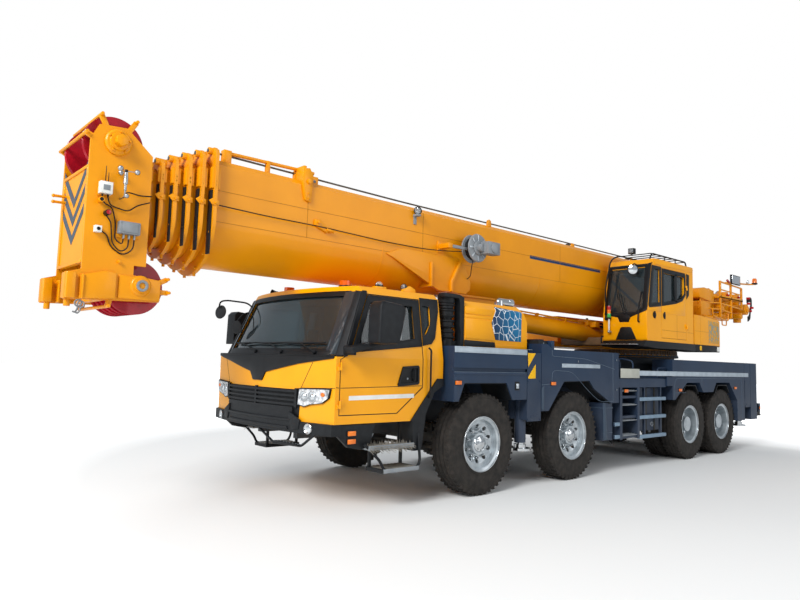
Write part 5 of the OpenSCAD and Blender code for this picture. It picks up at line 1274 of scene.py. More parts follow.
def make_hood():
    """Raised panels, the blue cell panel, the black band, the stainless exhaust and the air intake's frame."""
    half = []
    for points, low, high, finish in (
            ([(0.185, 2.345), (-0.368, 2.335), (-0.335, 2.245), (-0.295, 2.205), (0.182, 2.209)], 1.198, 1.209,
             "cab_enamel"),
            ([(0.181, 2.147), (-0.295, 2.139), (-0.38, 1.885), (0.174, 1.899)], 1.198, 1.207, "cab_enamel"),
            ([(0.188, 2.195), (-0.32, 2.19), (-0.30, 2.155), (0.185, 2.16)], 1.198, 1.203, "cab_enamel")):
        panel = plate(points, "xz", low, high, finish)
        cuts(panel, 2, (2.28,))
        for vertex in panel.data.vertices:
            vertex.co.y = hood_wall(vertex.co.y, vertex.co.z)
        half.append(panel)
    half.append(block(-1.062, 0.18, 1.196, 1.206, 1.794, 1.84, "cab_enamel"))
    piece("hood_panels", "carrier", half + mirrored(half), 0.006, 3)
    cells = plate([(-0.43, 2.335), (-0.945, 2.30), (-0.935, 1.895), (-0.405, 1.90), (-0.325, 2.12)], "xz", 1.198,
                  1.2055, "cell_panel")
    cuts(cells, 2, (2.28,))
    for vertex in cells.data.vertices:
        vertex.co.y = hood_wall(vertex.co.y, vertex.co.z)
    piece("cell_panels", "carrier", [cells] + mirrored([cells]), 0.002)
    band = plate([(0.192, 1.80), (0.192, 1.878), (-0.385, 1.868), (-0.40, 1.80)], "xz", 1.2, 1.211, "grained_plastic")
    piece("hood_bands", "carrier", [band] + mirrored([band]), 0.004)
    frame = [plate([(0.20, 1.80), (0.20, 2.40), (0.29, 2.43), (0.55, 2.43), (0.55, 2.385), (0.30, 2.38),
                    (0.275, 2.34), (0.275, 2.05), (0.255, 1.98), (0.265, 1.80)], "xz", 1.10, 1.205,
                   "grained_plastic"),
             block(0.20, 0.50, 0.98, 1.15, 1.79, 1.86, "grained_plastic"),
             bar((0.4, 1.08, 2.32), (0.4, 1.08, 2.425), 0.106, "grained_plastic", 32)]
    frame += [hoop((0.4, 1.08, 1.90 + 0.066 * k), (0, 0, 1), 0.094, 0.017, "hose_rubber", 32) for k in range(7)]
    piece("intake_frame", "carrier", frame, 0.008, 3)
    smoke = [bar((-0.83, 0.90, 2.365), (-0.83, 0.90, 2.44), 0.0625, "polished_steel", 32),
             ball((-0.83, 0.90, 2.44), 0.0626, "polished_steel", 32),
             bar((-0.83, 0.90, 2.44), (-1.03, 0.90, 2.44), 0.0625, "polished_steel", 32),
             turned((-1.0, 0.90, 2.44), (-1, 0, 0), [(0.0600, 0), (0.064, 0), (0.067, 0.085), (0.060, 0.085)],
                    "polished_steel", 32),
             hoop((-0.83, 0.90, 2.372), (0, 0, 1), 0.066, 0.007, "polished_steel"),
             bar((-1.060, 0.90, 2.44), (-1.064, 0.90, 2.44), 0.060, "matt_black", 32)]
    piece("exhaust_tail", "carrier", smoke, 0)
    vents = [block(-0.70 + 0.09 * k, -0.65 + 0.09 * k, -0.75, 0.75, 2.366, 2.378, "grained_plastic")
             for k in range(6)]
    vents += [block(-0.75, -0.15, y, y + 0.03, 2.366, 2.386, "cab_enamel") for y in (-0.80, 0.77)]
    piece("hood_vents", "carrier", vents, 0.004)


def make_side_boxes():
    """Pressed strips, stripes on the outrigger plates, side markers, seams, lamp window and catches."""
    strips = []
    for x0, x1, z0, z1 in ((-0.815, 0.565, 1.716, 1.788), (-2.584, -1.606, 1.568, 1.622), (-8.25, -3.757, 1.468, 1.548)):
        strips.append(block(x0, x1, BOX_Y, BOX_Y + 0.004, z0, z1, "strip_silver"))
        strips.append(block(x0 + 0.004, x1 - 0.004, BOX_Y, BOX_Y + 0.007, z0 + 0.006, z0 + 0.012, "strip_silver"))
        strips.append(block(x0 + 0.004, x1 - 0.004, BOX_Y, BOX_Y + 0.007, z1 - 0.012, z1 - 0.006, "strip_silver"))
    piece("side_strips", "carrier", strips + mirrored(strips), 0.0015)
    pale = [block(-3.757, -3.18, 1.395, 1.405, 1.43, 1.575, "pale_patch")]
    piece("deck_end_pieces", "carrier", pale + mirrored(pale), 0.003)
    for x, side in ((-0.975, "f"), (-8.2, "r")):
        if side == "f":
            half = [plate([(-0.832, 1.745), (-1.0, 1.745), (-0.845, 1.565)], "xz", BOX_Y, BOX_Y + 0.002,
                          "warning_yellow"),
                    plate([(-1.0, 1.60), (-1.0, 1.415), (-0.85, 1.41), (-0.84, 1.43)], "xz", BOX_Y, BOX_Y + 0.002,
                          "warning_yellow")]
        else:
            half = [block(x - 0.14, x + 0.14, BOX_Y, BOX_Y + 0.004, 1.02, 1.40, "slate_enamel")]
        half += bolts([(x + dx, BOX_Y, z) for dx in (-0.125, 0.125) for z in (0.88, 1.38)], (0, 1, 0), 0.013, 0.008,
                      "slate_enamel")
        half.append(block(x - 0.07, x + 0.07, BOX_Y - 0.02, BOX_Y + 0.005, 0.90, 0.93, "slate_enamel"))
        others = mirrored(half)
        piece(f"beam_markings_{side}l", f"beam_{side}l", half, 0)
        piece(f"beam_markings_{side}r", f"beam_{side}r", others, 0)
    lamps = []
    for x, z in ((0.50, 1.36), (-1.396, 1.347), (-3.366, 1.228), (-5.174, 1.228), (-7.564, 1.249)):
        y = BOX_Y if x != -3.366 else 1.38
        lamps.append(block(x - 0.058, x + 0.058, y, y + 0.007, z - 0.029, z + 0.029, "matt_black"))
        lamps.append(block(x - 0.05, x + 0.05, y + 0.004, y + 0.018, z - 0.022, z + 0.022, "amber_lens"))
    piece("side_markers", "carrier", lamps + mirrored(lamps), 0.003)
    window = [block(-0.655, -0.565, BOX_Y - 0.01, BOX_Y + 0.006, 1.262, 1.372, "matt_black"),
              block(-0.635, -0.59, BOX_Y, BOX_Y + 0.012, 1.285, 1.345, "lamp_reflector"),
              block(-0.637, -0.588, BOX_Y, BOX_Y + 0.015, 1.283, 1.347, "lamp_glass")]
    piece("side_lamps", "carrier", window + mirrored(window), 0.004)
    seams = []
    for line in ([(-1.372, 1.33), (-1.371, 1.528), (-1.85, 1.512), (-2.30, 1.22), (-2.58, 1.075), (-2.94, 1.075)],
                 [(-1.36, 1.34), (-1.14, 1.33)], [(-1.372, 1.80), (-1.372, 1.72), (-2.2, 1.70), (-3.0, 1.56)],
                 [(-2.95, 1.80), (-2.95, 1.062)], [(-7.9, 1.44), (-7.9, 0.65)], [(-6.05, 1.44), (-6.05, 1.30)],
                 [(-4.95, 1.08), (-4.98, 1.43), (-7.86, 1.43)], [(-5.4, 1.18), (-5.0, 1.18)],
                 [(-1.16, 1.28), (-1.16, 1.02)]):
        seams.append(pipe([(x, BOX_Y, z) for x, z in line], 0.0032, "seam_grey", 0.12, 1))
    seams.append(block(-0.81, 0.565, BOX_Y - 0.002, BOX_Y + 0.003, 1.484, 1.49, "seam_grey"))
    piece("side_seams", "carrier", seams + mirrored(seams), 0)
    ledge = [plate([(0.565, 1.455), (-0.80, 1.455), (-0.80, 1.484), (0.565, 1.484)], "xz", BOX_Y - 0.01,
                   BOX_Y + 0.006, "slate_enamel"),
             plate([(-1.137, 1.01), (-1.137, 1.28), (-1.19, 1.32), (-1.19, 0.985)], "xz", BOX_Y - 0.005,
                   BOX_Y + 0.006, "slate_light"),
             plate([(0.56, 1.15), (0.56, 1.42), (0.515, 1.42), (0.47, 1.16)], "xz", BOX_Y - 0.005, BOX_Y + 0.004,
                   "slate_enamel")]
    for x, z in ((-3.05, 1.70), (-3.05, 1.25), (-2.0, 1.66)):
        ledge.append(bar((x, BOX_Y - 0.002, z), (x, BOX_Y + 0.006, z), 0.02, "slate_enamel", 20))
        ledge.append(block(x - 0.006, x + 0.006, BOX_Y, BOX_Y + 0.009, z - 0.014, z + 0.014, "zinc_grey"))
    for x in (-0.90, 0.30):
        ledge.append(block(x - 0.03, x + 0.03, 1.36, BOX_Y + 0.002, 1.787, 1.793, "zinc_grey"))
    piece("side_ledges", "carrier", ledge + mirrored(ledge), 0.003)
    # Arch liners: the black inner skins over wheels 1 and 2
    liner = []
    for x in (0.0, -1.94):
        line = ([(0.478, 1.142), (0.383, ARCH_TOP - 0.004), (-0.402, ARCH_TOP - 0.004), (-0.520, 1.142)] if x == 0.0
                else [(0.632, 0.985), (0.276, ARCH_TOP + 0.016), (-0.357, ARCH_TOP + 0.026), (-0.488, ARCH_TOP - 0.094),
                      (-0.955, 1.048)])
        inner = [(a - 0.006 * (1 if a > 0 else -1), b - 0.006) for a, b in line]
        liner.append(plate([(x + a, b) for a, b in line + inner[::-1]], "xz", 0.95, 1.385, "grained_plastic"))
    for x0, x1 in ((-5.30, -5.95), (-6.66, -7.32)):
        liner.append(plate([(x0, 1.16), (x0 - 0.12, 1.31), (x1 + 0.12, 1.31), (x1, 1.16), (x1 + 0.01, 1.15),
                            (x1 + 0.13, 1.295), (x0 - 0.13, 1.295), (x0 - 0.01, 1.15)], "xz", 1.06, 1.385,
                           "grained_plastic"))
    piece("arch_liners", "carrier", liner + mirrored(liner), 0)


def make_deck_top():
    """Tread plates, the black box and tool chest behind the hood, hand rails, tanks and hoses."""
    treads = [block(-3.10, -1.45, 0.74, 1.385, 1.808, 1.813, "tread_plate"),
              block(-8.66, -4.95, 1.10, 1.385, 1.748, 1.753, "tread_plate"),
              block(-4.66, -3.15, 0.62, 1.36, 1.418, 1.424, "tread_plate")]
    piece("tread_plates", "carrier", treads + mirrored(treads), 0.001)
    box = [block(-1.155, -1.34, 0.98, 1.34, 1.80, 1.925, "grained_plastic"),
           block(-1.20, -1.32, 1.02, 1.30, 1.92, 1.945, "grained_plastic"),
           block(-1.37, -1.43, 1.0, 1.395, 1.80, 1.93, "slate_enamel"),
           bar((-1.15, 1.15, 1.86), (-1.11, 1.15, 1.86), 0.035, "grained_plastic", 24)]
    box += bolts([(-1.25, 1.34, z) for z in (1.85, 1.89)], (0, 1, 0), 0.01, 0.01)
    piece("battery_switch_box", "carrier", box, 0.008, 3)
    rails = []
    for x in (-3.22, -3.62):
        rails.append(pipe([(x, 1.36, 1.42), (x, 1.36, 1.70), (x, 1.12, 1.74), (x, 1.10, 1.42)], 0.012,
                          "slate_enamel", 0.06))
    for x in (-4.55,):
        rails.append(pipe([(x, 1.30, 1.42), (x, 1.30, 1.60), (x - 0.35, 1.30, 1.60), (x - 0.35, 1.30, 1.42)], 0.012,
                          "slate_enamel", 0.06))
    piece("deck_rails", "carrier", rails + mirrored(rails), 0)
    chest = [block(-2.35, -2.90, -0.62, -0.10, 1.30, 1.62, "slate_enamel"),
             bar((-2.5, 0.28, 1.50), (-3.0, 0.28, 1.50), 0.14, "axle_black", 28),
             bar((-2.5, -0.02, 1.44), (-3.0, -0.02, 1.44), 0.10, "axle_black", 28)]
    chest += [bar((-1.6, y, 1.34), (-3.9, y, 1.34), 0.022, "hose_rubber") for y in (0.36, 0.42, 0.48, -0.36, -0.42)]
    piece("deck_tanks", "carrier", chest, 0.006)


def make_tank_rack():
    """Tank straps, seams, cap and drains, pale guard bars, ladder treads, hose and brackets."""
    parts = []
    for x in (-3.96, -4.24, -4.52):
        parts += [block(x - 0.02, x + 0.02, 0.555, 1.258, 1.255, 1.266, "axle_black"),
                  block(x - 0.02, x + 0.02, 1.245, 1.258, 0.56, 1.262, "axle_black")]
    parts += [block(-3.80, -4.68, 1.248, 1.254, z, z + 0.006, "axle_black") for z in (0.80, 1.05)]
    parts.append(block(-3.797, -4.683, 0.99, 1.10, 1.25, 1.262, "slate_enamel"))
    parts += [bar((-3.93, 1.12, 1.255), (-3.93, 1.12, 1.30), 0.05, "slate_enamel", 24),
              bar((-3.93, 1.12, 1.30), (-3.93, 1.12, 1.335), 0.06, "white_enamel", 24),
              pipe([(-3.93, 1.18, 1.31), (-3.99, 1.22, 1.30), (-4.05, 1.20, 1.27)], 0.004, "zinc_grey", 0.03)]
    for x in (-4.0, -4.45):
        parts += [bar((x, 1.20, 0.57), (x, 1.20, 0.52), 0.02, "zinc_grey", 16),
                  hoop((x, 1.245, 0.66), (0, 1, 0), 0.035, 0.008, "satin_aluminium", 20)]
    piece("tank_fittings", "carrier", parts + mirrored(parts), 0.003)
    bars = []
    for z in (0.49, 0.80, 1.09):
        bars.append(block(-4.684, -3.796, 1.327, 1.384, z - 0.028, z + 0.028, "guard_grey"))
    for z in (0.53, 0.72):
        bars.append(block(-3.034, -3.184, 1.352, 1.384, z - 0.028, z + 0.028, "guard_grey"))
    piece("guard_bars", "carrier", bars + mirrored(bars), 0.008, 3)
    treads = []
    for z in (0.53, 0.76, 1.0, 1.22):
        treads.append(block(-3.25, -3.74, 1.20, 1.372, z, z + 0.012, "zinc_grey"))
        treads += [block(-3.26, -3.73, y, y + 0.012, z + 0.01, z + 0.022, "zinc_grey") for y in (1.22, 1.27, 1.32)]
    piece("ladder_treads", "carrier", treads + mirrored(treads), 0.002)
    hoses = []
    for k, (x, y) in enumerate(((-3.10, 1.22), (-3.02, 1.12))):
        hoses.append(pipe([(x, y - 0.2, 0.82), (x - 0.02, y, 0.68), (x - 0.04, y + 0.05, 0.50),
                           (x - 0.10, y + 0.02, 0.40 + 0.05 * k), (x - 0.20, y - 0.10, 0.46), (x - 0.3, y - 0.3, 0.74)],
                          0.012, "hose_rubber", 0.12))
    piece("brake_hoses", "carrier", hoses, 0)
    guard = [plate([(-2.745, 0.50), (-2.745, 1.05), (-2.80, 1.05), (-2.86, 0.50)], "xz", 1.35, 1.362,
                   "slate_light"),
             block(-2.73, -3.02, 1.06, 1.36, 0.965, 0.985, "slate_light"),
             block(-2.74, -3.01, 1.345, 1.358, 0.60, 0.606, "seam_grey")]
    piece("mudguard_edges", "carrier", guard + mirrored(guard), 0.003)


def make_rear_end():
    """Tail lamps, bumper boxes, tow hitch, reflectors and number plate holder, all without text."""
    half = [block(-8.93, -9.28, 0.95, 1.25, 0.64, 0.72, "axle_black"),
            block(-9.30, -9.315, 0.62, 1.22, 0.735, 0.865, "matt_black"),
            block(-8.69, -8.705, 0.62, 1.36, 0.66, 0.95, "slate_enamel")]
    for y, finish in ((0.70, "red_lens"), (0.88, "amber_lens"), (1.06, "red_lens"), (1.16, "lamp_glass")):
        half.append(bar((-9.312, y, 0.80), (-9.326, y, 0.80), 0.05, finish, 24, 0.042))
    half += [block(-9.21, -9.28, 1.245, 1.262, 0.76, 0.85, "matt_black"),
             block(-9.22, -9.27, 1.258, 1.268, 0.775, 0.835, "amber_lens"),
             block(-8.69, -9.22, 1.16, 1.19, 0.72, 0.88, "axle_black"),
             block(-8.76, -8.95, 1.22, 1.38, 0.66, 0.70, "axle_black"),
             bar((-8.78, 1.30, 0.70), (-8.78, 1.30, 0.94), 0.03, "axle_black"),
             block(-8.692, -8.70, 1.18, 1.36, 1.10, 1.30, "warning_yellow"),
             block(-8.692, -8.702, 1.22, 1.32, 1.13, 1.19, "red_lens")]
    half += bolts([(-8.69, y, z) for y in (0.66, 1.32) for z in (0.70, 0.92)], (-1, 0, 0), 0.016, 0.014)
    piece("tail_lamps", "carrier", half + mirrored(half), 0.004)
    hitch = [block(-9.30, -9.33, -0.16, 0.16, 0.64, 0.92, "axle_black"),
             hoop((-9.37, 0, 0.80), (0, 1, 0), 0.05, 0.018, "cast_iron", 28),
             bar((-9.37, -0.05, 0.74), (-9.37, -0.05, 0.88), 0.015, "zinc_grey"),
             block(-8.69, -8.71, -0.30, 0.30, 1.14, 1.28, "matt_black"),
             block(-8.705, -8.712, -0.26, 0.26, 1.155, 1.265, "white_enamel")]
    hitch += [pipe([(-8.70, y, 0.62), (-8.80, y, 0.60), (-8.95, y * 0.7, 0.66)], 0.012, "hose_rubber", 0.05)
              for y in (0.30, 0.36, -0.30, -0.36)]
    piece("tow_hitch", "carrier", hitch, 0.005)
    beams = [block(-7.90, -8.02, -1.0, 1.0, 1.60, 1.745, "slate_enamel"),
             block(-8.38, -8.50, -1.0, 1.0, 1.60, 1.745, "slate_enamel")]
    piece("rear_beam_housings", "carrier", beams, 0.01, 3)


def make_running_gear():
    """Springs, struts, brake chambers, steering rods, air tanks, pipes and the engine's details under the frame."""
    half = []
    for x in (0.0, -1.94, -5.65, -7.0):
        rear = x < -4
        y = 0.50
        for k in range(4):
            half.append(pipe([(x + 0.50 - 0.09 * k, y, 0.86 - 0.022 * k), (x, y, 0.78 - 0.022 * k),
                              (x - 0.50 + 0.09 * k, y, 0.86 - 0.022 * k)], 0.016, "axle_black", 0.5, 1))
        half += [block(x - 0.07, x + 0.07, y - 0.05, y + 0.05, 0.68, 0.80, "axle_black"),
                 bar((x + 0.04, y, 0.68), (x + 0.04, y, 0.82), 0.014, "zinc_grey", 10),
                 bar((x - 0.04, y, 0.68), (x - 0.04, y, 0.82), 0.014, "zinc_grey", 10),
                 bar((x + 0.16, 0.42, 0.62), (x + 0.20, 0.44, 1.02), 0.032, "axle_black", 20),
                 bar((x - 0.16, 0.40, 0.70), (x - 0.36, 0.40, 0.72), 0.075, "axle_black", 24),
                 bar((x - 0.36, 0.40, 0.72), (x - 0.42, 0.40, 0.725), 0.055, "zinc_grey", 24)]
        if rear:
            half.append(bar((x - 0.24, 0.40, 0.64), (x - 0.24, 0.40, 0.80), 0.082, "axle_black", 24))
    piece("leaf_springs", "carrier", half + mirrored(half), 0)
    rods = [bar((0.0, 0.34, 0.52), (-1.92, 0.34, 0.54), 0.026, "axle_black"),
            bar((0.10, -0.60, 0.50), (0.10, 0.60, 0.50), 0.022, "axle_black"),
            bar((-1.84, -0.60, 0.50), (-1.84, 0.60, 0.50), 0.022, "axle_black"),
            bar((-2.0, 0, 0.72), (-5.5, 0, 0.70), 0.055, "axle_black", 20),
            bar((-3.60, 0, 0.71), (-3.75, 0, 0.71), 0.085, "cast_iron", 20),
            bar((-5.75, 0, 0.70), (-6.80, 0, 0.68), 0.05, "axle_black", 20)]
    for x in (-5.65, -7.0):
        rods.append(turned((x, 0, 0.615), (-1, 0, 0), [(0, -0.20), (0.10, -0.18), (0.19, -0.08), (0.21, 0.0),
                                                      (0.19, 0.08), (0.09, 0.20), (0, 0.24)], "axle_black", 32))
    piece("drive_shafts", "carrier", rods, 0)
    tanks = []
    for x, y, z, long in ((-2.95, 0.46, 0.80, 0.62), (-2.95, -0.46, 0.80, 0.62), (-3.95, 0.40, 0.74, 0.60),
                          (-3.95, -0.40, 0.74, 0.60)):
        tanks.append(turned((x, y, z), (-1, 0, 0), [(0, -0.02), (0.07, -0.01), (0.12, 0.03), (0.12, long - 0.03),
                                                   (0.07, long + 0.01), (0, long + 0.02)], "axle_black", 28))
        tanks += [hoop((x - d, y, z), (1, 0, 0), 0.122, 0.006, "zinc_grey", 28) for d in (0.15, long - 0.15)]
    piece("air_tanks", "carrier", tanks, 0)
    engine = [block(0.10, -0.92, -0.22, 0.22, 0.86, 1.0, "cast_iron"), block(-0.05, -0.55, -0.18, 0.18, 0.72, 0.87,
                                                                         "cast_iron"),
              turned((-1.02, 0, 1.12), (-1, 0, 0), [(0, -0.05), (0.27, -0.04), (0.27, 0.06), (0.20, 0.14),
                                                   (0.15, 0.40), (0.12, 0.55), (0, 0.56)], "cast_iron", 32),
              bar((-0.9, 0.62, 1.45), (-0.2, 0.62, 1.45), 0.10, "cast_iron", 24),
              pipe([(-0.5, 0.5, 1.7), (-0.6, 0.70, 1.62), (-0.75, 0.72, 1.50)], 0.05, "cast_iron", 0.08)]
    engine += [block(0.0 - 0.16 * k, -0.1 - 0.16 * k, 0.30, 0.40, 1.62, 1.80, "cast_iron") for k in range(6)]
    engine += [hoop((0.16, 0, 1.25), (1, 0, 0), 0.16, 0.02, "cast_iron", 32),
               bar((0.12, 0, 1.55), (0.20, 0, 1.55), 0.12, "cast_iron", 28)]
    piece("engine_details", "carrier", engine, 0.008)
    lines = []
    for y in (0.37, -0.37):
        for k, z in enumerate((1.02, 1.07, 1.12)):
            lines.append(pipe([(0.2, y + 0.02 * k * (1 if y > 0 else -1), z), (-8.4, y, z)], 0.009, "hose_rubber"))
    piece("chassis_lines", "carrier", lines, 0)

# The crane's upper works

OP_Y = 1.38
SLEW_X = -5.8
PANE_FRONT = [(-4.08, 2.05), (-4.06, 2.47), (-4.22, 3.32), (-4.32, 3.45)]


def op_face(z):
    """How far forward the operator's cab front is at a height."""
    for (x0, z0), (x1, z1) in zip(PANE_FRONT, PANE_FRONT[1:]):
        if z <= z1:
            return x0 + (x1 - x0) * (z - z0) / (z1 - z0)
    return PANE_FRONT[-1][0]


def on_op_front(thing):
    """Lays a plate cut in the front view on the operator's cab front."""
    cuts(thing, 2, (2.47, 3.32))
    for vertex in thing.data.vertices:
        vertex.co.x += op_face(vertex.co.z)
    return thing


def make_op_cab():
    """Front frame, lower cover, glazing frames, handle, seams drawn as painted shade lines, guard tube, mirror, step,
    wipers and skirt.
    """
    frame = plate([(0.60, 3.36), (1.35, 3.36), (1.375, 2.56), (1.24, 2.47), (0.70, 2.44), (0.60, 2.50)], "yz", -0.004,
                  0.010, "matt_black",
                  [(0.66, 3.30), (1.275, 3.30), (1.29, 2.60), (1.20, 2.54), (0.72, 2.51), (0.66, 2.55)])
    post = plate([(1.30, 3.36), (1.378, 3.38), (1.378, 2.60), (1.31, 2.57)], "yz", -0.03, 0.012, "matt_black")
    piece("op_front_frame", "superstructure", [on_op_front(frame), on_op_front(post)], 0.004)
    cover = plate([(0.575, 2.50), (0.86, 2.44), (0.885, 2.36), (1.055, 2.36), (1.09, 2.44), (1.378, 2.55),
                   (1.378, 2.062), (0.575, 2.062)], "yz", -0.004, 0.014, "cab_enamel")
    notch = plate([(0.86, 2.44), (0.89, 2.365), (1.05, 2.365), (1.09, 2.45), (1.0, 2.50)], "yz", 0.008, 0.020,
                  "matt_black")
    low = plate([(0.81, 2.062), (0.905, 2.265), (0.925, 2.277), (1.08, 2.277), (1.10, 2.265), (1.19, 2.062)], "yz",
                0.006, 0.020, "matt_black")
    piece("op_front_cover", "superstructure", [on_op_front(cover)], 0.008, 3)
    piece("op_front_grilles", "superstructure", [on_op_front(notch), on_op_front(low)], 0.003)
    # Side glazing: a frame on the door and another beside the fixed front pane
    side = plate([(-4.575, 3.31), (-4.575, 2.655), (-5.10, 2.735), (-5.34, 2.80), (-5.475, 2.92), (-5.475, 3.29),
                  (-5.44, 3.312)], "xz", OP_Y, OP_Y + 0.007, "matt_black",
                 [(-4.645, 3.235), (-4.645, 2.725), (-5.09, 2.79), (-5.31, 2.85), (-5.415, 2.945), (-5.415, 3.22),
                  (-5.40, 3.235)])
    pane = block(-4.62, -5.45, OP_Y - 0.035, OP_Y - 0.029, 2.55, 3.26, "tinted_glass")
    piece("op_door_pane", "op_cab_door", [pane], 0)
    filler = plate([(-4.58, 2.54), (-4.58, 2.67), (-5.10, 2.745), (-5.34, 2.81), (-5.45, 2.93), (-5.45, 2.54)], "xz",
                   OP_Y - 0.015, OP_Y + 0.004, "cab_enamel")
    bars = [block(-5.06, -5.14, OP_Y - 0.01, OP_Y + 0.007, 2.76, 3.26, "matt_black")]
    # The darker lines on the door's seams are painted shade in the seams
    seam = [block(-4.57, -5.49, OP_Y, OP_Y + 0.0015, 2.245, 2.251, "seam_shade"),
            block(-5.13, -5.136, OP_Y, OP_Y + 0.0015, 2.12, 2.54, "seam_shade")]
    handle = [turned((-4.66, OP_Y, 2.50), (0, 1, 0), [(0, 0), (0.045, 0), (0.045, 0.006), (0.03, 0.010), (0, 0.010)],
                     "matt_black", 28),
              block(-4.645, -4.675, OP_Y + 0.004, OP_Y + 0.016, 2.44, 2.56, "grained_plastic")]
    piece("op_door_glazing", "op_cab_door", [side, filler] + bars, 0.003)
    piece("op_door_seams", "op_cab_door", seam + handle, 0.002)
    quarter = plate([(-4.225, 3.33), (-4.555, 3.33), (-4.555, 2.65), (-4.13, 2.60), (-4.105, 2.64), (-4.19, 3.17)],
                    "xz", OP_Y, OP_Y + 0.007, "matt_black",
                    [(-4.295, 3.27), (-4.485, 3.27), (-4.485, 2.715), (-4.225, 2.685), (-4.215, 2.70), (-4.275, 3.16)])
    low_fill = plate([(-4.12, 2.55), (-4.115, 2.62), (-4.555, 2.67), (-4.555, 2.55)], "xz", OP_Y - 0.015, OP_Y + 0.004,
                     "cab_enamel")
    rear_post = plate([(-5.51, 3.315), (-5.62, 3.30), (-5.605, 2.93), (-5.51, 2.85)], "xz", OP_Y, OP_Y + 0.007,
                      "matt_black")
    piece("op_quarter_frame", "superstructure", [quarter, low_fill, rear_post], 0.003)
    # The last mark is a darker line of painted shade along a seam
    marks = [bar((-4.31, OP_Y - 0.005, 2.49), (-4.31, OP_Y + 0.008, 2.49), 0.055, "matt_black", 28),
             block(-4.30, -4.322, OP_Y, OP_Y + 0.018, 2.43, 2.55, "grained_plastic"),
             block(-5.53, -5.77, OP_Y, OP_Y + 0.0015, 2.245, 2.251, "seam_shade")]
    piece("op_grab_handle", "superstructure", marks, 0.003)
    # The skirt under the cab, and its step
    skirt = plate([(-3.94, 1.955), (-4.02, 2.05), (-5.84, 2.05), (-5.84, 1.925), (-5.2, 1.935), (-4.35, 1.93)], "xz",
                  0.60, OP_Y + 0.006, "matt_black")
    step = [block(-3.90, -4.02, 0.62, 1.285, 1.972, 1.986, "satin_aluminium"),
            block(-3.97, -4.10, 0.60, 1.36, 1.945, 1.972, "matt_black")]
    step += [block(-3.895, -4.0, 0.64 + 0.08 * k, 0.655 + 0.08 * k, 1.986, 1.992, "satin_aluminium") for k in range(8)]
    piece("op_cab_skirt", "superstructure", [skirt] + step, 0.004)
    roof = [block(-4.36, -5.75, 0.60, 1.36, 3.445, 3.462, "cab_enamel"),
            block(-4.50, -4.95, 0.72, 1.24, 3.455, 3.474, "tinted_glass"),
            plate([(-4.30, 3.40), (-4.40, 3.455), (-5.74, 3.455), (-5.78, 3.40), (-5.74, 3.36), (-4.34, 3.35)], "xz",
                  OP_Y - 0.01, OP_Y + 0.01, "cab_enamel")]
    piece("op_roof", "superstructure", roof, 0.01, 3)
    rack = [pipe([(-4.01, 0.655, 2.40), (-3.985, 0.66, 2.92), (-4.09, 0.70, 3.46), (-4.33, 0.72, 3.56),
                  (-5.70, 0.72, 3.56), (-5.74, 0.72, 3.46)], 0.013, "matt_black", 0.12),
            pipe([(-4.36, 1.28, 3.45), (-4.42, 1.28, 3.56), (-5.70, 1.28, 3.56), (-5.74, 1.28, 3.46)], 0.013,
                 "matt_black", 0.08)]
    rack += [bar((x, 0.72, 3.56), (x, 1.28, 3.56), 0.009, "matt_black", 12) for x in
             (-4.42, -4.62, -4.82, -5.02, -5.22, -5.42, -5.70)]
    rack += [bar((x, y, 3.45), (x, y, 3.56), 0.009, "matt_black", 12) for x in (-4.9, -5.3) for y in (0.72, 1.28)]
    rack += [bar((-4.05, 0.655, 2.42), (-4.00, 0.655, 2.42), 0.02, "matt_black"),
             bar((-4.14, 0.70, 3.24), (-4.03, 0.68, 3.20), 0.011, "matt_black")]
    piece("op_cab_rack", "superstructure", rack, 0)
    grab = [pipe([(-4.05, 1.25, 2.36), (-3.99, 1.255, 2.36), (-4.02, 1.255, 2.62), (-4.11, 1.26, 2.86),
                  (-4.14, 1.26, 2.86)], 0.012, "matt_black", 0.05),
            pipe([(-4.17, 1.15, 3.34), (-4.08, 1.14, 3.36), (-4.07, 1.115, 3.30)], 0.008, "matt_black", 0.03)]
    disc = turned((-4.09, 1.114, 3.255), (0.86, 0.5, -0.1), [(0, -0.03), (0.06, -0.026), (0.088, 0), (0.088, 0.006),
                                                           (0.082, 0.008), (0, 0.008)], "matt_black", 32)
    glass = turned((-4.085, 1.118, 3.255), (0.86, 0.5, -0.1), [(0, 0.002), (0.079, 0.001), (0.05, 0.010), (0, 0.014)],
                   "lamp_reflector", 32)
    piece("op_mirror", "superstructure", grab + [disc, glass], 0)
    column = [bar((-4.0, 0.72, 2.20), (-4.0, 0.72, 2.43), 0.014, "white_enamel"),
              ball((-4.0, 0.72, 2.20), 0.028, "satin_aluminium", 16),
              bar((-4.06, 0.72, 2.20), (-4.0, 0.72, 2.20), 0.016, "zinc_grey"),
              bar((-4.0, 0.72, 2.42), (-4.0, 0.72, 2.445), 0.034, "matt_black", 24),
              bar((-4.0, 0.72, 2.445), (-4.0, 0.72, 2.51), 0.033, "green_lens", 24),
              bar((-4.0, 0.72, 2.51), (-4.0, 0.72, 2.575), 0.033, "amber_lens", 24),
              bar((-4.0, 0.72, 2.575), (-4.0, 0.72, 2.64), 0.033, "red_lens", 24),
              bar((-4.0, 0.72, 2.64), (-4.0, 0.72, 2.652), 0.030, "matt_black", 24)]
    piece("load_lamp_column", "superstructure", column, 0.002)
    wiper = [pipe([(-4.045, 0.98, 2.50), (-4.075, 0.90, 2.68), (-4.11, 0.84, 2.88)], 0.007, "matt_black", 0.02),
             pipe([(-4.095, 0.84, 2.76), (-4.10, 0.80, 2.95), (-4.135, 0.78, 3.10)], 0.008, "matt_black", 0.02),
             pipe([(-4.045, 1.02, 2.50), (-4.075, 0.95, 2.66), (-4.11, 0.90, 2.84)], 0.006, "matt_black", 0.02),
             bar((-4.06, 0.98, 2.50), (-4.035, 0.98, 2.50), 0.022, "matt_black")]
    piece("op_wipers", "superstructure", wiper, 0)
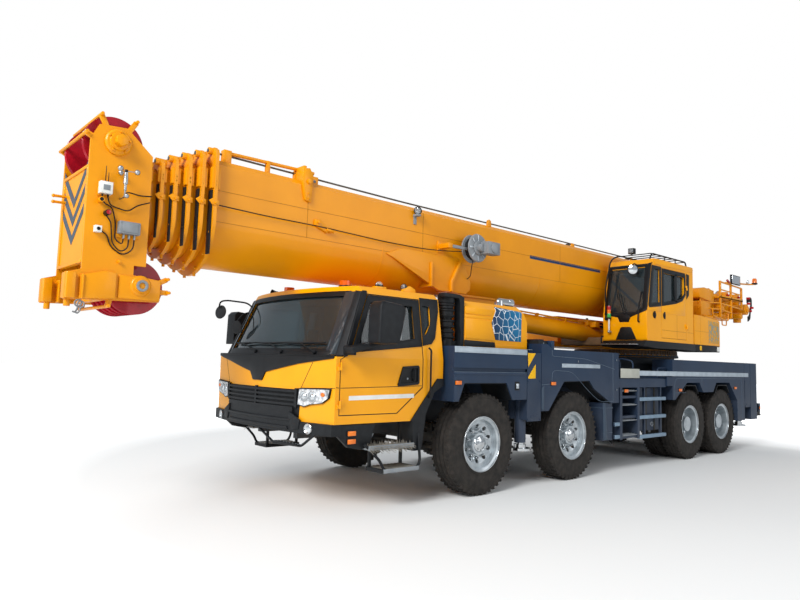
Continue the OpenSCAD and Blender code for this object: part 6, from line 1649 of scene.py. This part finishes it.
    lamp = [bar((-4.46, 0.90, 3.56), (-4.46, 0.90, 3.60), 0.012, "matt_black"),
            block(-4.42, -4.50, 0.845, 0.955, 3.59, 3.69, "matt_black"),
            block(-4.412, -4.425, 0.855, 0.945, 3.60, 3.68, "lamp_glass")]
    piece("op_roof_lamp", "superstructure", lamp, 0.006)


def make_op_cab_inside():
    """Operator's seat, consoles with levers, foot pedals and the screen."""
    make_seat("op_seat", "superstructure", -5.22, -4.78, 0.975, 2.24, 2.98)
    parts = [block(-5.14, -4.86, 0.86, 1.09, 2.09, 2.19, "cab_vinyl")]
    for y in (0.70, 1.25):
        parts += [block(-5.15, -4.62, y - 0.06, y + 0.06, 2.12, 2.50, "cab_vinyl"),
                  bar((-4.70, y, 2.49), (-4.67, y, 2.62), 0.012, "matt_black"),
                  ball((-4.665, y, 2.635), (0.028, 0.028, 0.04), "matt_black", 14)]
    parts += [block(-4.30, -4.34, 0.70, 0.92, 2.62, 2.80, "matt_black"),
              bar((-4.32, 0.80, 2.12), (-4.32, 0.80, 2.64), 0.016, "matt_black"),
              block(-4.14, -4.50, 0.72, 1.25, 2.10, 2.20, "cab_vinyl")]
    for y in (0.86, 0.98, 1.10):
        parts.append(plate([(-4.30, 2.20), (-4.36, 2.32), (-4.375, 2.31), (-4.32, 2.19)], "xz", y - 0.035, y + 0.035,
                           "matt_black"))
    piece("op_consoles", "superstructure", parts, 0.012, 3)


def make_turntable():
    """Toothed ring, side covers with the speckled panel, bolts, pivot caps, lugs and platform edge."""
    tooth = plate([(-0.02, 0.93), (-0.012, 0.965), (0.012, 0.965), (0.02, 0.93)], "xy", 1.845, 1.915, "ring_brown")
    for vertex in tooth.data.vertices:
        vertex.co.x += SLEW_X
    ring = ring_of(tooth, 96, (SLEW_X, 0, 1.88), (0, 0, 1))
    collar = turned((SLEW_X, 0, 1.84), (0, 0, 1), [(0.90, 0), (0.951, 0), (0.951, 0.085), (0.90, 0.085)], "ring_brown",
                    96)
    flange = turned((SLEW_X, 0, 1.94), (0, 0, 1), [(0.90, 0), (0.972, 0), (0.972, 0.03), (0.90, 0.03)], "boom_enamel",
                    72)
    lip = turned((SLEW_X, 0, 1.795), (0, 0, 1), [(0.90, 0), (0.985, 0), (0.985, 0.035), (0.90, 0.035)],
                 "frame_enamel", 72)
    studs = ring_of(bar((SLEW_X + 0.965, 0, 1.83), (SLEW_X + 0.965, 0, 1.85), 0.011, "zinc_grey", 6), 60,
                    (SLEW_X, 0, 1.83), (0, 0, 1))
    piece("slew_ring_teeth", "carrier", [collar] + ring, 0)
    piece("slew_ring_lip", "carrier", [lip] + studs, 0)
    piece("slew_ring_flange", "superstructure", [flange], 0.003)
    # The two darker lines on this cover are painted shade along its seams
    cover = [plate([(-5.86, 2.055), (-5.86, 2.60), (-6.08, 2.60), (-6.40, 2.585), (-6.92, 2.55), (-6.965, 2.50),
                    (-6.965, 2.055)], "xz", 1.335, 1.36, "cab_enamel"),
             block(-5.86, -6.96, 0.60, 1.35, 2.54, 2.56, "cab_enamel"),
             block(-5.90, -6.48, 1.358, 1.3615, 2.30, 2.305, "seam_shade"),
             block(-6.12, -6.125, 1.358, 1.3615, 2.08, 2.57, "seam_shade")]
    piece("side_cover_left", "superstructure", cover, 0.01, 3)
    cells = [plate([(-6.48, 2.10), (-6.48, 2.53), (-6.90, 2.50), (-6.925, 2.46), (-6.925, 2.10)], "xz", 1.36, 1.363,
                   "speckled_panel")]
    piece("side_cover_cells", "superstructure", cells, 0)
    sill = [block(-5.86, -6.97, 0.70, 1.355, 1.935, 2.055, "matt_black"),
            block(-6.86, -6.965, 1.350, 1.362, 1.95, 2.035, "white_enamel"),
            block(-6.10, -6.17, 1.350, 1.362, 1.95, 2.035, "warning_yellow")]
    piece("side_cover_sill", "superstructure", sill, 0.003)
    right = [plate([(-4.42, 2.06), (-4.42, 2.54), (-5.60, 2.54), (-5.60, 2.06)], "xz", -1.325, -1.336,
                   "cab_enamel")]
    right += [block(-4.60 - 0.07 * k, -4.62 - 0.07 * k, -1.345, -1.33, 2.14, 2.46, "matt_black") for k in range(12)]
    # The darker upright line here is painted shade along a seam
    right += [block(-5.72, -6.90, -1.36, -1.335, 2.12, 2.50, "cab_enamel"),
              block(-5.66, -5.70, -1.345, -1.33, 2.08, 2.54, "seam_shade")]
    piece("side_cover_right", "superstructure", right, 0.004)
    parts = []
    for x, z, r in ((-8.05, 3.0, 0.11), (-5.5, 2.16, 0.075)):
        y = 0.585 if r > 0.1 else 0.165
        parts.append(turned((x, y - 0.02, z), (0, 1, 0), [(0, 0), (r, 0), (r, 0.045), (r * 0.85, 0.055), (0, 0.055)],
                            "boom_enamel", 36))
        parts += bolts([(x + r * 0.6 * math.cos(a), y + 0.03, z + r * 0.6 * math.sin(a)) for a in
                        (0.3, 1.35, 2.4, 3.45, 4.5, 5.55)], (0, 1, 0), 0.011, 0.018, "boom_enamel")
    for x, z0, z1 in ((-5.9, 2.0, 2.42), (-6.5, 2.0, 2.44), (-7.15, 2.0, 2.50)):
        parts.append(block(x - 0.012, x + 0.012, 0.53, 0.60, z0, z1, "boom_enamel"))
    parts.append(plate([(-7.2, 2.46), (-7.66, 3.10), (-7.88, 3.19), (-8.3, 3.20), (-9.6, 3.07), (-9.6, 3.04),
                        (-8.3, 3.16), (-7.9, 3.15), (-7.7, 3.07), (-7.26, 2.44)], "xz", 0.535, 0.56, "boom_enamel"))
    parts.append(plate([(-7.4, 2.0), (-8.3, 2.76), (-9.65, 2.84), (-9.65, 2.875), (-8.3, 2.80), (-7.45, 2.06)], "xz",
                       0.535, 0.56, "boom_enamel"))
    piece("side_plate_stiffeners", "superstructure", parts + mirrored(parts), 0.004)
    lugs = [block(-4.35, -4.16, 0.50, 0.62, 1.985, 2.12, "boom_enamel"),
            pipe([(-4.15, 0.56, 2.0), (-4.02, 0.56, 2.0), (-4.02, 0.56, 2.12), (-4.15, 0.56, 2.12)], 0.012,
                 "matt_black", 0.03),
            block(-4.70, -4.30, -0.45, 0.45, 1.985, 2.12, "ring_brown"),
            bar((-4.6, 0.30, 2.1), (-4.6, 0.30, 2.20), 0.05, "boom_enamel", 24),
            bar((-4.6, -0.30, 2.1), (-4.6, -0.30, 2.34), 0.11, "boom_enamel", 32),
            bar((-4.6, -0.30, 2.34), (-4.6, -0.30, 2.42), 0.07, "axle_black", 32)]
    piece("slew_drive", "superstructure", lugs, 0.004)


def make_tail():
    """Winch ropes and motors, posts, rails, hose loops, camera, beacon and the tail block's fittings."""
    for name, x, z in (("front_winch", -8.79, 3.15), ("rear_winch", -9.40, 3.15)):
        wound = [hoop((x, -0.345 + 0.0245 * k, z), (0, 1, 0), 0.208 + 0.006 * (k % 2), 0.0125, "rope_steel", 40)
                 for k in range(29)]
        piece(name + "_rope", "superstructure", wound, 0)
        motor = [turned((x, 0.545, z), (0, 1, 0), [(0, 0), (0.15, 0), (0.15, 0.05), (0.11, 0.07), (0.10, 0.24),
                                                  (0.07, 0.27), (0, 0.27)], "boom_enamel", 32),
                 turned((x, -0.545, z), (0, -1, 0), [(0, 0), (0.13, 0), (0.12, 0.06), (0.06, 0.08), (0, 0.08)],
                        "boom_enamel", 32),
                 block(x - 0.07, x + 0.07, 0.66, 0.80, z + 0.05, z + 0.17, "boom_enamel"),
                 bar((x - 0.04, 0.80, z + 0.1), (x - 0.04, 0.84, z + 0.1), 0.02, "red_fitting", 16),
                 bar((x + 0.03, 0.80, z + 0.1), (x + 0.03, 0.84, z + 0.1), 0.02, "red_fitting", 16)]
        motor += bolts([(x + 0.125 * math.cos(a), 0.59, z + 0.125 * math.sin(a)) for a in
                        [math.tau * k / 8 for k in range(8)]], (0, 1, 0), 0.012, 0.014, "zinc_grey")
        piece(name + "_motor", "superstructure", motor, 0.003)
        flanges = []
        for y in (-0.403, 0.403):
            flanges.append(turned((x, y, z), (0, 1, 0), [(0.05, -0.004), (0.27, -0.004), (0.282, 0), (0.27, 0.004),
                                                        (0.05, 0.004)], "boom_enamel", 48))
        piece(name + "_flanges", "superstructure", flanges, 0)
    for side, (x, y, z) in (("left", (-8.79, 0.10, 3.36)), ("right", (-9.40, -0.10, 3.36))):
        tail = (-6.95, 0.28 if y > 0 else -0.28, 3.70)
        run = [tuple(a + (b - a) * k / 12 for a, b in zip((x, y, z), tail)) for k in range(13)]
        piece(f"winch_rope_run_{side}", "superstructure", [pipe(run, 0.011, "rope_steel", 0)], 0,
              into=("boom_section_1", (-8.5, y, 3.40), tail))
    posts = []
    for y in (1.03,):
        posts += [block(-7.83, -7.87, y - 0.02, y + 0.02, 2.70, 3.46, "boom_enamel"),
                  block(-8.38, -8.42, y - 0.02, y + 0.02, 2.70, 3.46, "boom_enamel"),
                  block(-8.95, -8.99, y - 0.02, y + 0.02, 2.92, 3.40, "boom_enamel"),
                  pipe([(-7.85, y, 3.44), (-8.97, y, 3.40)], 0.018, "boom_enamel"),
                  pipe([(-7.85, y, 3.28), (-8.97, y, 3.25)], 0.014, "boom_enamel"),
                  pipe([(-7.0, y - 0.10, 2.96), (-7.85, y, 2.99), (-8.97, y, 2.94)], 0.016, "boom_enamel", 0.05),
                  pipe([(-7.0, y - 0.10, 2.84), (-7.85, y, 2.86), (-8.4, y, 2.82)], 0.016, "boom_enamel", 0.05),
                  pipe([(-7.46, y, 2.86), (-7.48, y, 2.70), (-8.24, y, 2.64), (-8.26, y, 2.80)], 0.014, "boom_enamel",
                       0.05),
                  pipe([(-8.0, y - 0.03, 2.66), (-8.0, y - 0.03, 2.54), (-8.22, y - 0.03, 2.54),
                        (-8.22, y - 0.03, 2.66)], 0.012, "boom_enamel", 0.04),
                  block(-6.95, -7.75, 0.56, 0.60, 2.85, 3.05, "boom_enamel"),
                  block(-7.80, -9.0, 1.03, 1.05, 3.10, 3.16, "boom_enamel")]
    piece("walkway_rails", "superstructure", posts + mirrored(posts), 0.003)
    pump = [block(-7.05, -7.50, 0.62, 0.98, 2.62, 2.98, "boom_enamel"),
            plate([(-6.98, 3.05), (-6.98, 3.22), (-7.20, 3.26), (-7.66, 3.23), (-7.66, 2.98)], "xz", 0.56, 0.98,
                  "boom_enamel"),
            block(-7.60, -7.95, 0.60, 0.86, 2.76, 3.08, "boom_enamel"),
            bar((-8.05, 0.62, 2.90), (-8.05, 1.0, 2.90), 0.09, "boom_enamel", 28),
            bar((-8.22, 0.60, 2.98), (-8.22, 0.95, 2.98), 0.06, "boom_enamel", 24)]
    for k in range(6):
        pump.append(bar((-7.10 - 0.07 * k, 0.94, 2.98), (-7.10 - 0.07 * k, 0.94, 3.05), 0.018, "boom_enamel", 12))
        pump.append(pipe([(-7.10 - 0.07 * k, 0.98, 2.70), (-7.12 - 0.07 * k, 1.02, 2.66), (-7.5, 1.01, 2.60 + 0.02 * k),
                          (-8.35, 0.98, 2.66 + 0.03 * k)], 0.011, "boom_enamel", 0.05))
    piece("hydraulic_blocks", "superstructure", pump, 0.008)
    end = [block(-9.72, -9.84, 0.46, 0.56, 2.90, 3.04, "boom_enamel"),
           plate([(-9.55, 3.05), (-9.50, 3.30), (-9.80, 3.30), (-9.84, 3.05)], "xz", 0.48, 0.535, "boom_enamel"),
           bar((-9.30, 0.60, 2.96), (-9.30, 1.02, 2.96), 0.12, "boom_enamel", 32),
           bar((-9.30, 1.0, 2.96), (-9.30, 1.05, 2.96), 0.07, "boom_enamel", 24),
           bar((-9.05, 0.62, 2.80), (-9.05, 1.0, 2.80), 0.07, "boom_enamel", 24),
           block(-8.95, -9.42, 0.60, 0.68, 2.76, 3.10, "boom_enamel"),
           bar((-9.16, 0.86, 2.66), (-9.16, 0.86, 2.80), 0.08, "boom_enamel", 28)]
    end += [bar((x, 0.98, z), (x, 1.05, z), 0.024, "red_fitting", 16) for x, z in
            ((-9.42, 3.10), (-9.50, 2.94), (-9.60, 3.02), (-9.40, 3.22))]
    piece("tail_fittings", "superstructure", end + mirrored(end), 0.005)
    hoses = []
    for k in range(4):
        o = 0.028 * k
        hoses.append(pipe([(-9.42, 0.98, 3.22 - o), (-9.60, 1.00, 3.26 - o), (-9.79, 0.94, 3.16 - o),
                           (-9.81, 0.90, 3.00 - o), (-9.68, 0.94, 2.86 - o), (-9.46, 0.98, 2.80 - o)], 0.015,
                          "hose_rubber", 0.12))
    for k in range(3):
        hoses.append(pipe([(-7.2 - 0.1 * k, 0.66, 2.64), (-7.0 - 0.05 * k, 0.70, 2.30), (-6.6, 0.72, 2.10),
                           (-6.4, 0.70, 2.0)], 0.016, "hose_rubber", 0.15))
    piece("tail_hoses", "superstructure", hoses, 0)
    camera = [bar((-8.10, 1.04, 3.44), (-9.30, 1.08, 3.52), 0.018, "boom_enamel"),
              bar((-9.30, 1.08, 3.52), (-9.50, 1.15, 3.54), 0.016, "boom_enamel"),
              turned((-9.44, 1.14, 3.54), (0, 0, 1), [(0, 0), (0.055, 0), (0.055, 0.03), (0.05, 0.035), (0.05, 0.10),
                                                     (0.035, 0.125), (0, 0.125)], "amber_lens", 28),
              bar((-9.44, 1.14, 3.53), (-9.44, 1.14, 3.56), 0.062, "matt_black", 28),
              ball((-9.16, 1.10, 3.555), (0.03, 0.03, 0.045), "lamp_reflector", 16)]
    mirror = [block(-8.32, -8.78, 1.05, 1.09, 3.44, 3.64, "matt_black"),
              block(-8.34, -8.76, 1.085, 1.096, 3.455, 3.625, "lamp_reflector"),
              bar((-8.25, 1.06, 3.45), (-8.15, 1.06, 3.50), 0.025, "red_lens", 16)]
    piece("tail_beacon", "superstructure", camera, 0.003)
    piece("winch_mirror", "superstructure", mirror, 0.012, 3)

# Wheels

WHEEL_Y, INNER_Y, TYRE_R = 1.215, 0.862, 0.615


def make_tyre():
    """A radial truck tyre at the middle of the frame: grooved tread, shoulder lugs, ribs and sidewall rings."""
    edge, centre = 0.152, (-AXLE_1, 0, 0)
    half = [(0.318, 0.125), (0.345, 0.143), (0.40, edge), (0.46, edge + 0.001), (0.53, 0.148), (0.578, 0.138),
            (0.600, 0.122), (0.604, 0.075), (0.592, 0.07), (0.592, 0.058), (0.605, 0.053), (0.606, 0.006),
            (0.593, 0.004)]
    profile = [(r, -y) for r, y in half] + half[::-1] + [(0.338, 0.10), (0.338, -0.10)]
    parts = [turned(centre, (0, 1, 0), profile, "tyre_rubber", 96)]
    for way in (1, -1):
        lug = plate([(-0.010, 0.578), (-0.014, 0.6105), (0.014, 0.6105), (0.010, 0.578)], "xz", 0.083, 0.137,
                    "tyre_rubber")
        rib = plate([(-0.013, 0.598), (-0.015, 0.6105), (0.013, 0.6105), (0.015, 0.598)], "xz", 0.012, 0.05,
                    "tyre_rubber")
        for vertex in list(lug.data.vertices) + list(rib.data.vertices):
            vertex.co.x += -AXLE_1 + (0.012 if vertex.co.y > 0.1 else 0)
            vertex.co.y *= way
        parts += ring_of(lug, 48, centre, (0, 1, 0)) + ring_of(rib, 48, centre, (0, 1, 0))
        for r, y, t in ((0.365, edge - 0.004, 0.004), (0.50, edge - 0.004, 0.003), (0.56, 0.143, 0.003)):
            parts.append(hoop((-AXLE_1, way * y, 0), (0, 1, 0), r, t, "tyre_rubber", 64))
    return joined(parts)


def joined(things):
    """One object of several, with its place in its mesh."""
    choose(*things)
    bpy.ops.object.transform_apply(location=True, rotation=True, scale=True)
    bpy.ops.object.join()
    return bpy.context.object


def make_fittings(rear):
    """Studs with nuts, hub cap, rings and valve of a wheel on the left, at the middle of the frame."""
    face = WHEEL_Y - 0.082 if rear else WHEEL_Y + 0.028
    reach = 0.165 if rear else 0.11
    x = -AXLE_1
    stud = joined([bar((x, face - 0.01, 0.172), (x, face + 0.045, 0.172), 0.022, "polished_steel", 6, 0.019),
                   bar((x, face + 0.045, 0.172), (x, face + 0.062, 0.172), 0.013, "polished_steel", 12, 0.009)])
    parts = ring_of(stud, 10, (x, face, 0), (0, 1, 0))
    parts.append(turned((x, face, 0), (0, 1, 0),
                        [(0, reach), (0.05, reach - 0.002), (0.065, reach - 0.015), (0.09, reach - 0.02),
                         (0.105, reach - 0.04), (0.11, 0.02), (0.13, 0.008), (0.13, 0), (0, 0)], "polished_steel", 40))
    nose = face + reach - 0.022
    parts += ring_of(bar((x, nose, 0.08), (x, nose + 0.014, 0.08), 0.009, "zinc_grey", 6), 8, (x, nose, 0), (0, 1, 0))
    parts.append(hoop((x, WHEEL_Y + 0.142, 0), (0, 1, 0), 0.331, 0.006, "polished_steel", 64))
    parts.append(hoop((x, face + 0.001, 0), (0, 1, 0), 0.205, 0.005, "forged_wheel", 48))
    parts.append(bar((x + 0.26, WHEEL_Y + 0.05, 0.06), (x + 0.265, WHEEL_Y + 0.11, 0.06), 0.006, "zinc_grey", 10))
    return joined(parts)


def make_wheels():
    """Tyres in place of the plain ones, and the fittings on each wheel, each modelled once and copied."""
    tyre = make_tyre()
    sets = {False: make_fittings(False), True: make_fittings(True)}
    for number, x in ((1, 0.0), (2, -1.94), (3, -5.65), (4, -7.0)):
        rear = number > 2
        rows = (WHEEL_Y, INNER_Y) if rear else (WHEEL_Y,)
        for side, way in (("l", 1), ("r", -1)):
            body = f"road_wheel_{number}{side}"
            treads = copies(tyre, [(x + AXLE_1, way * y, TYRE_R) for y in rows])
            piece(f"tyre_tread_{number}{side}", body, treads, 0, replaced=(f"tyre_{number}{side}",))
            fitting = copies(sets[rear], [(x + AXLE_1, 0, TYRE_R)])
            if way < 0:
                twin = mirrored(fitting)
                bpy.data.objects.remove(fitting[0])
                fitting = twin
            piece(f"wheel_fittings_{number}{side}", body, fitting, 0.0015, 1)
    for spare in (tyre, *sets.values()):
        bpy.data.objects.remove(spare)

make_camera()
make_world_and_floor()
make_lamps()
make_materials()
make_special_materials()
finish_nodes()
bpy.ops.object.select_all(action="DESELECT")
make_cab_front()
make_wipers()
make_cab_lamps()
make_doors()
make_mirrors()
make_cab_steps()
make_cab_inside()
make_boom_head()
make_collars()
make_boom_sides()
make_cable_reel()
make_lift_fittings()
make_hood()
make_side_boxes()
make_deck_top()
make_tank_rack()
make_rear_end()
make_running_gear()
make_op_cab()
make_op_cab_inside()
make_turntable()
make_tail()
make_wheels()

scene = bpy.context.scene
scene.view_settings.view_transform = "Standard"


def keep_size():
    """Imports json and does nothing else."""
    import json


keep_size()
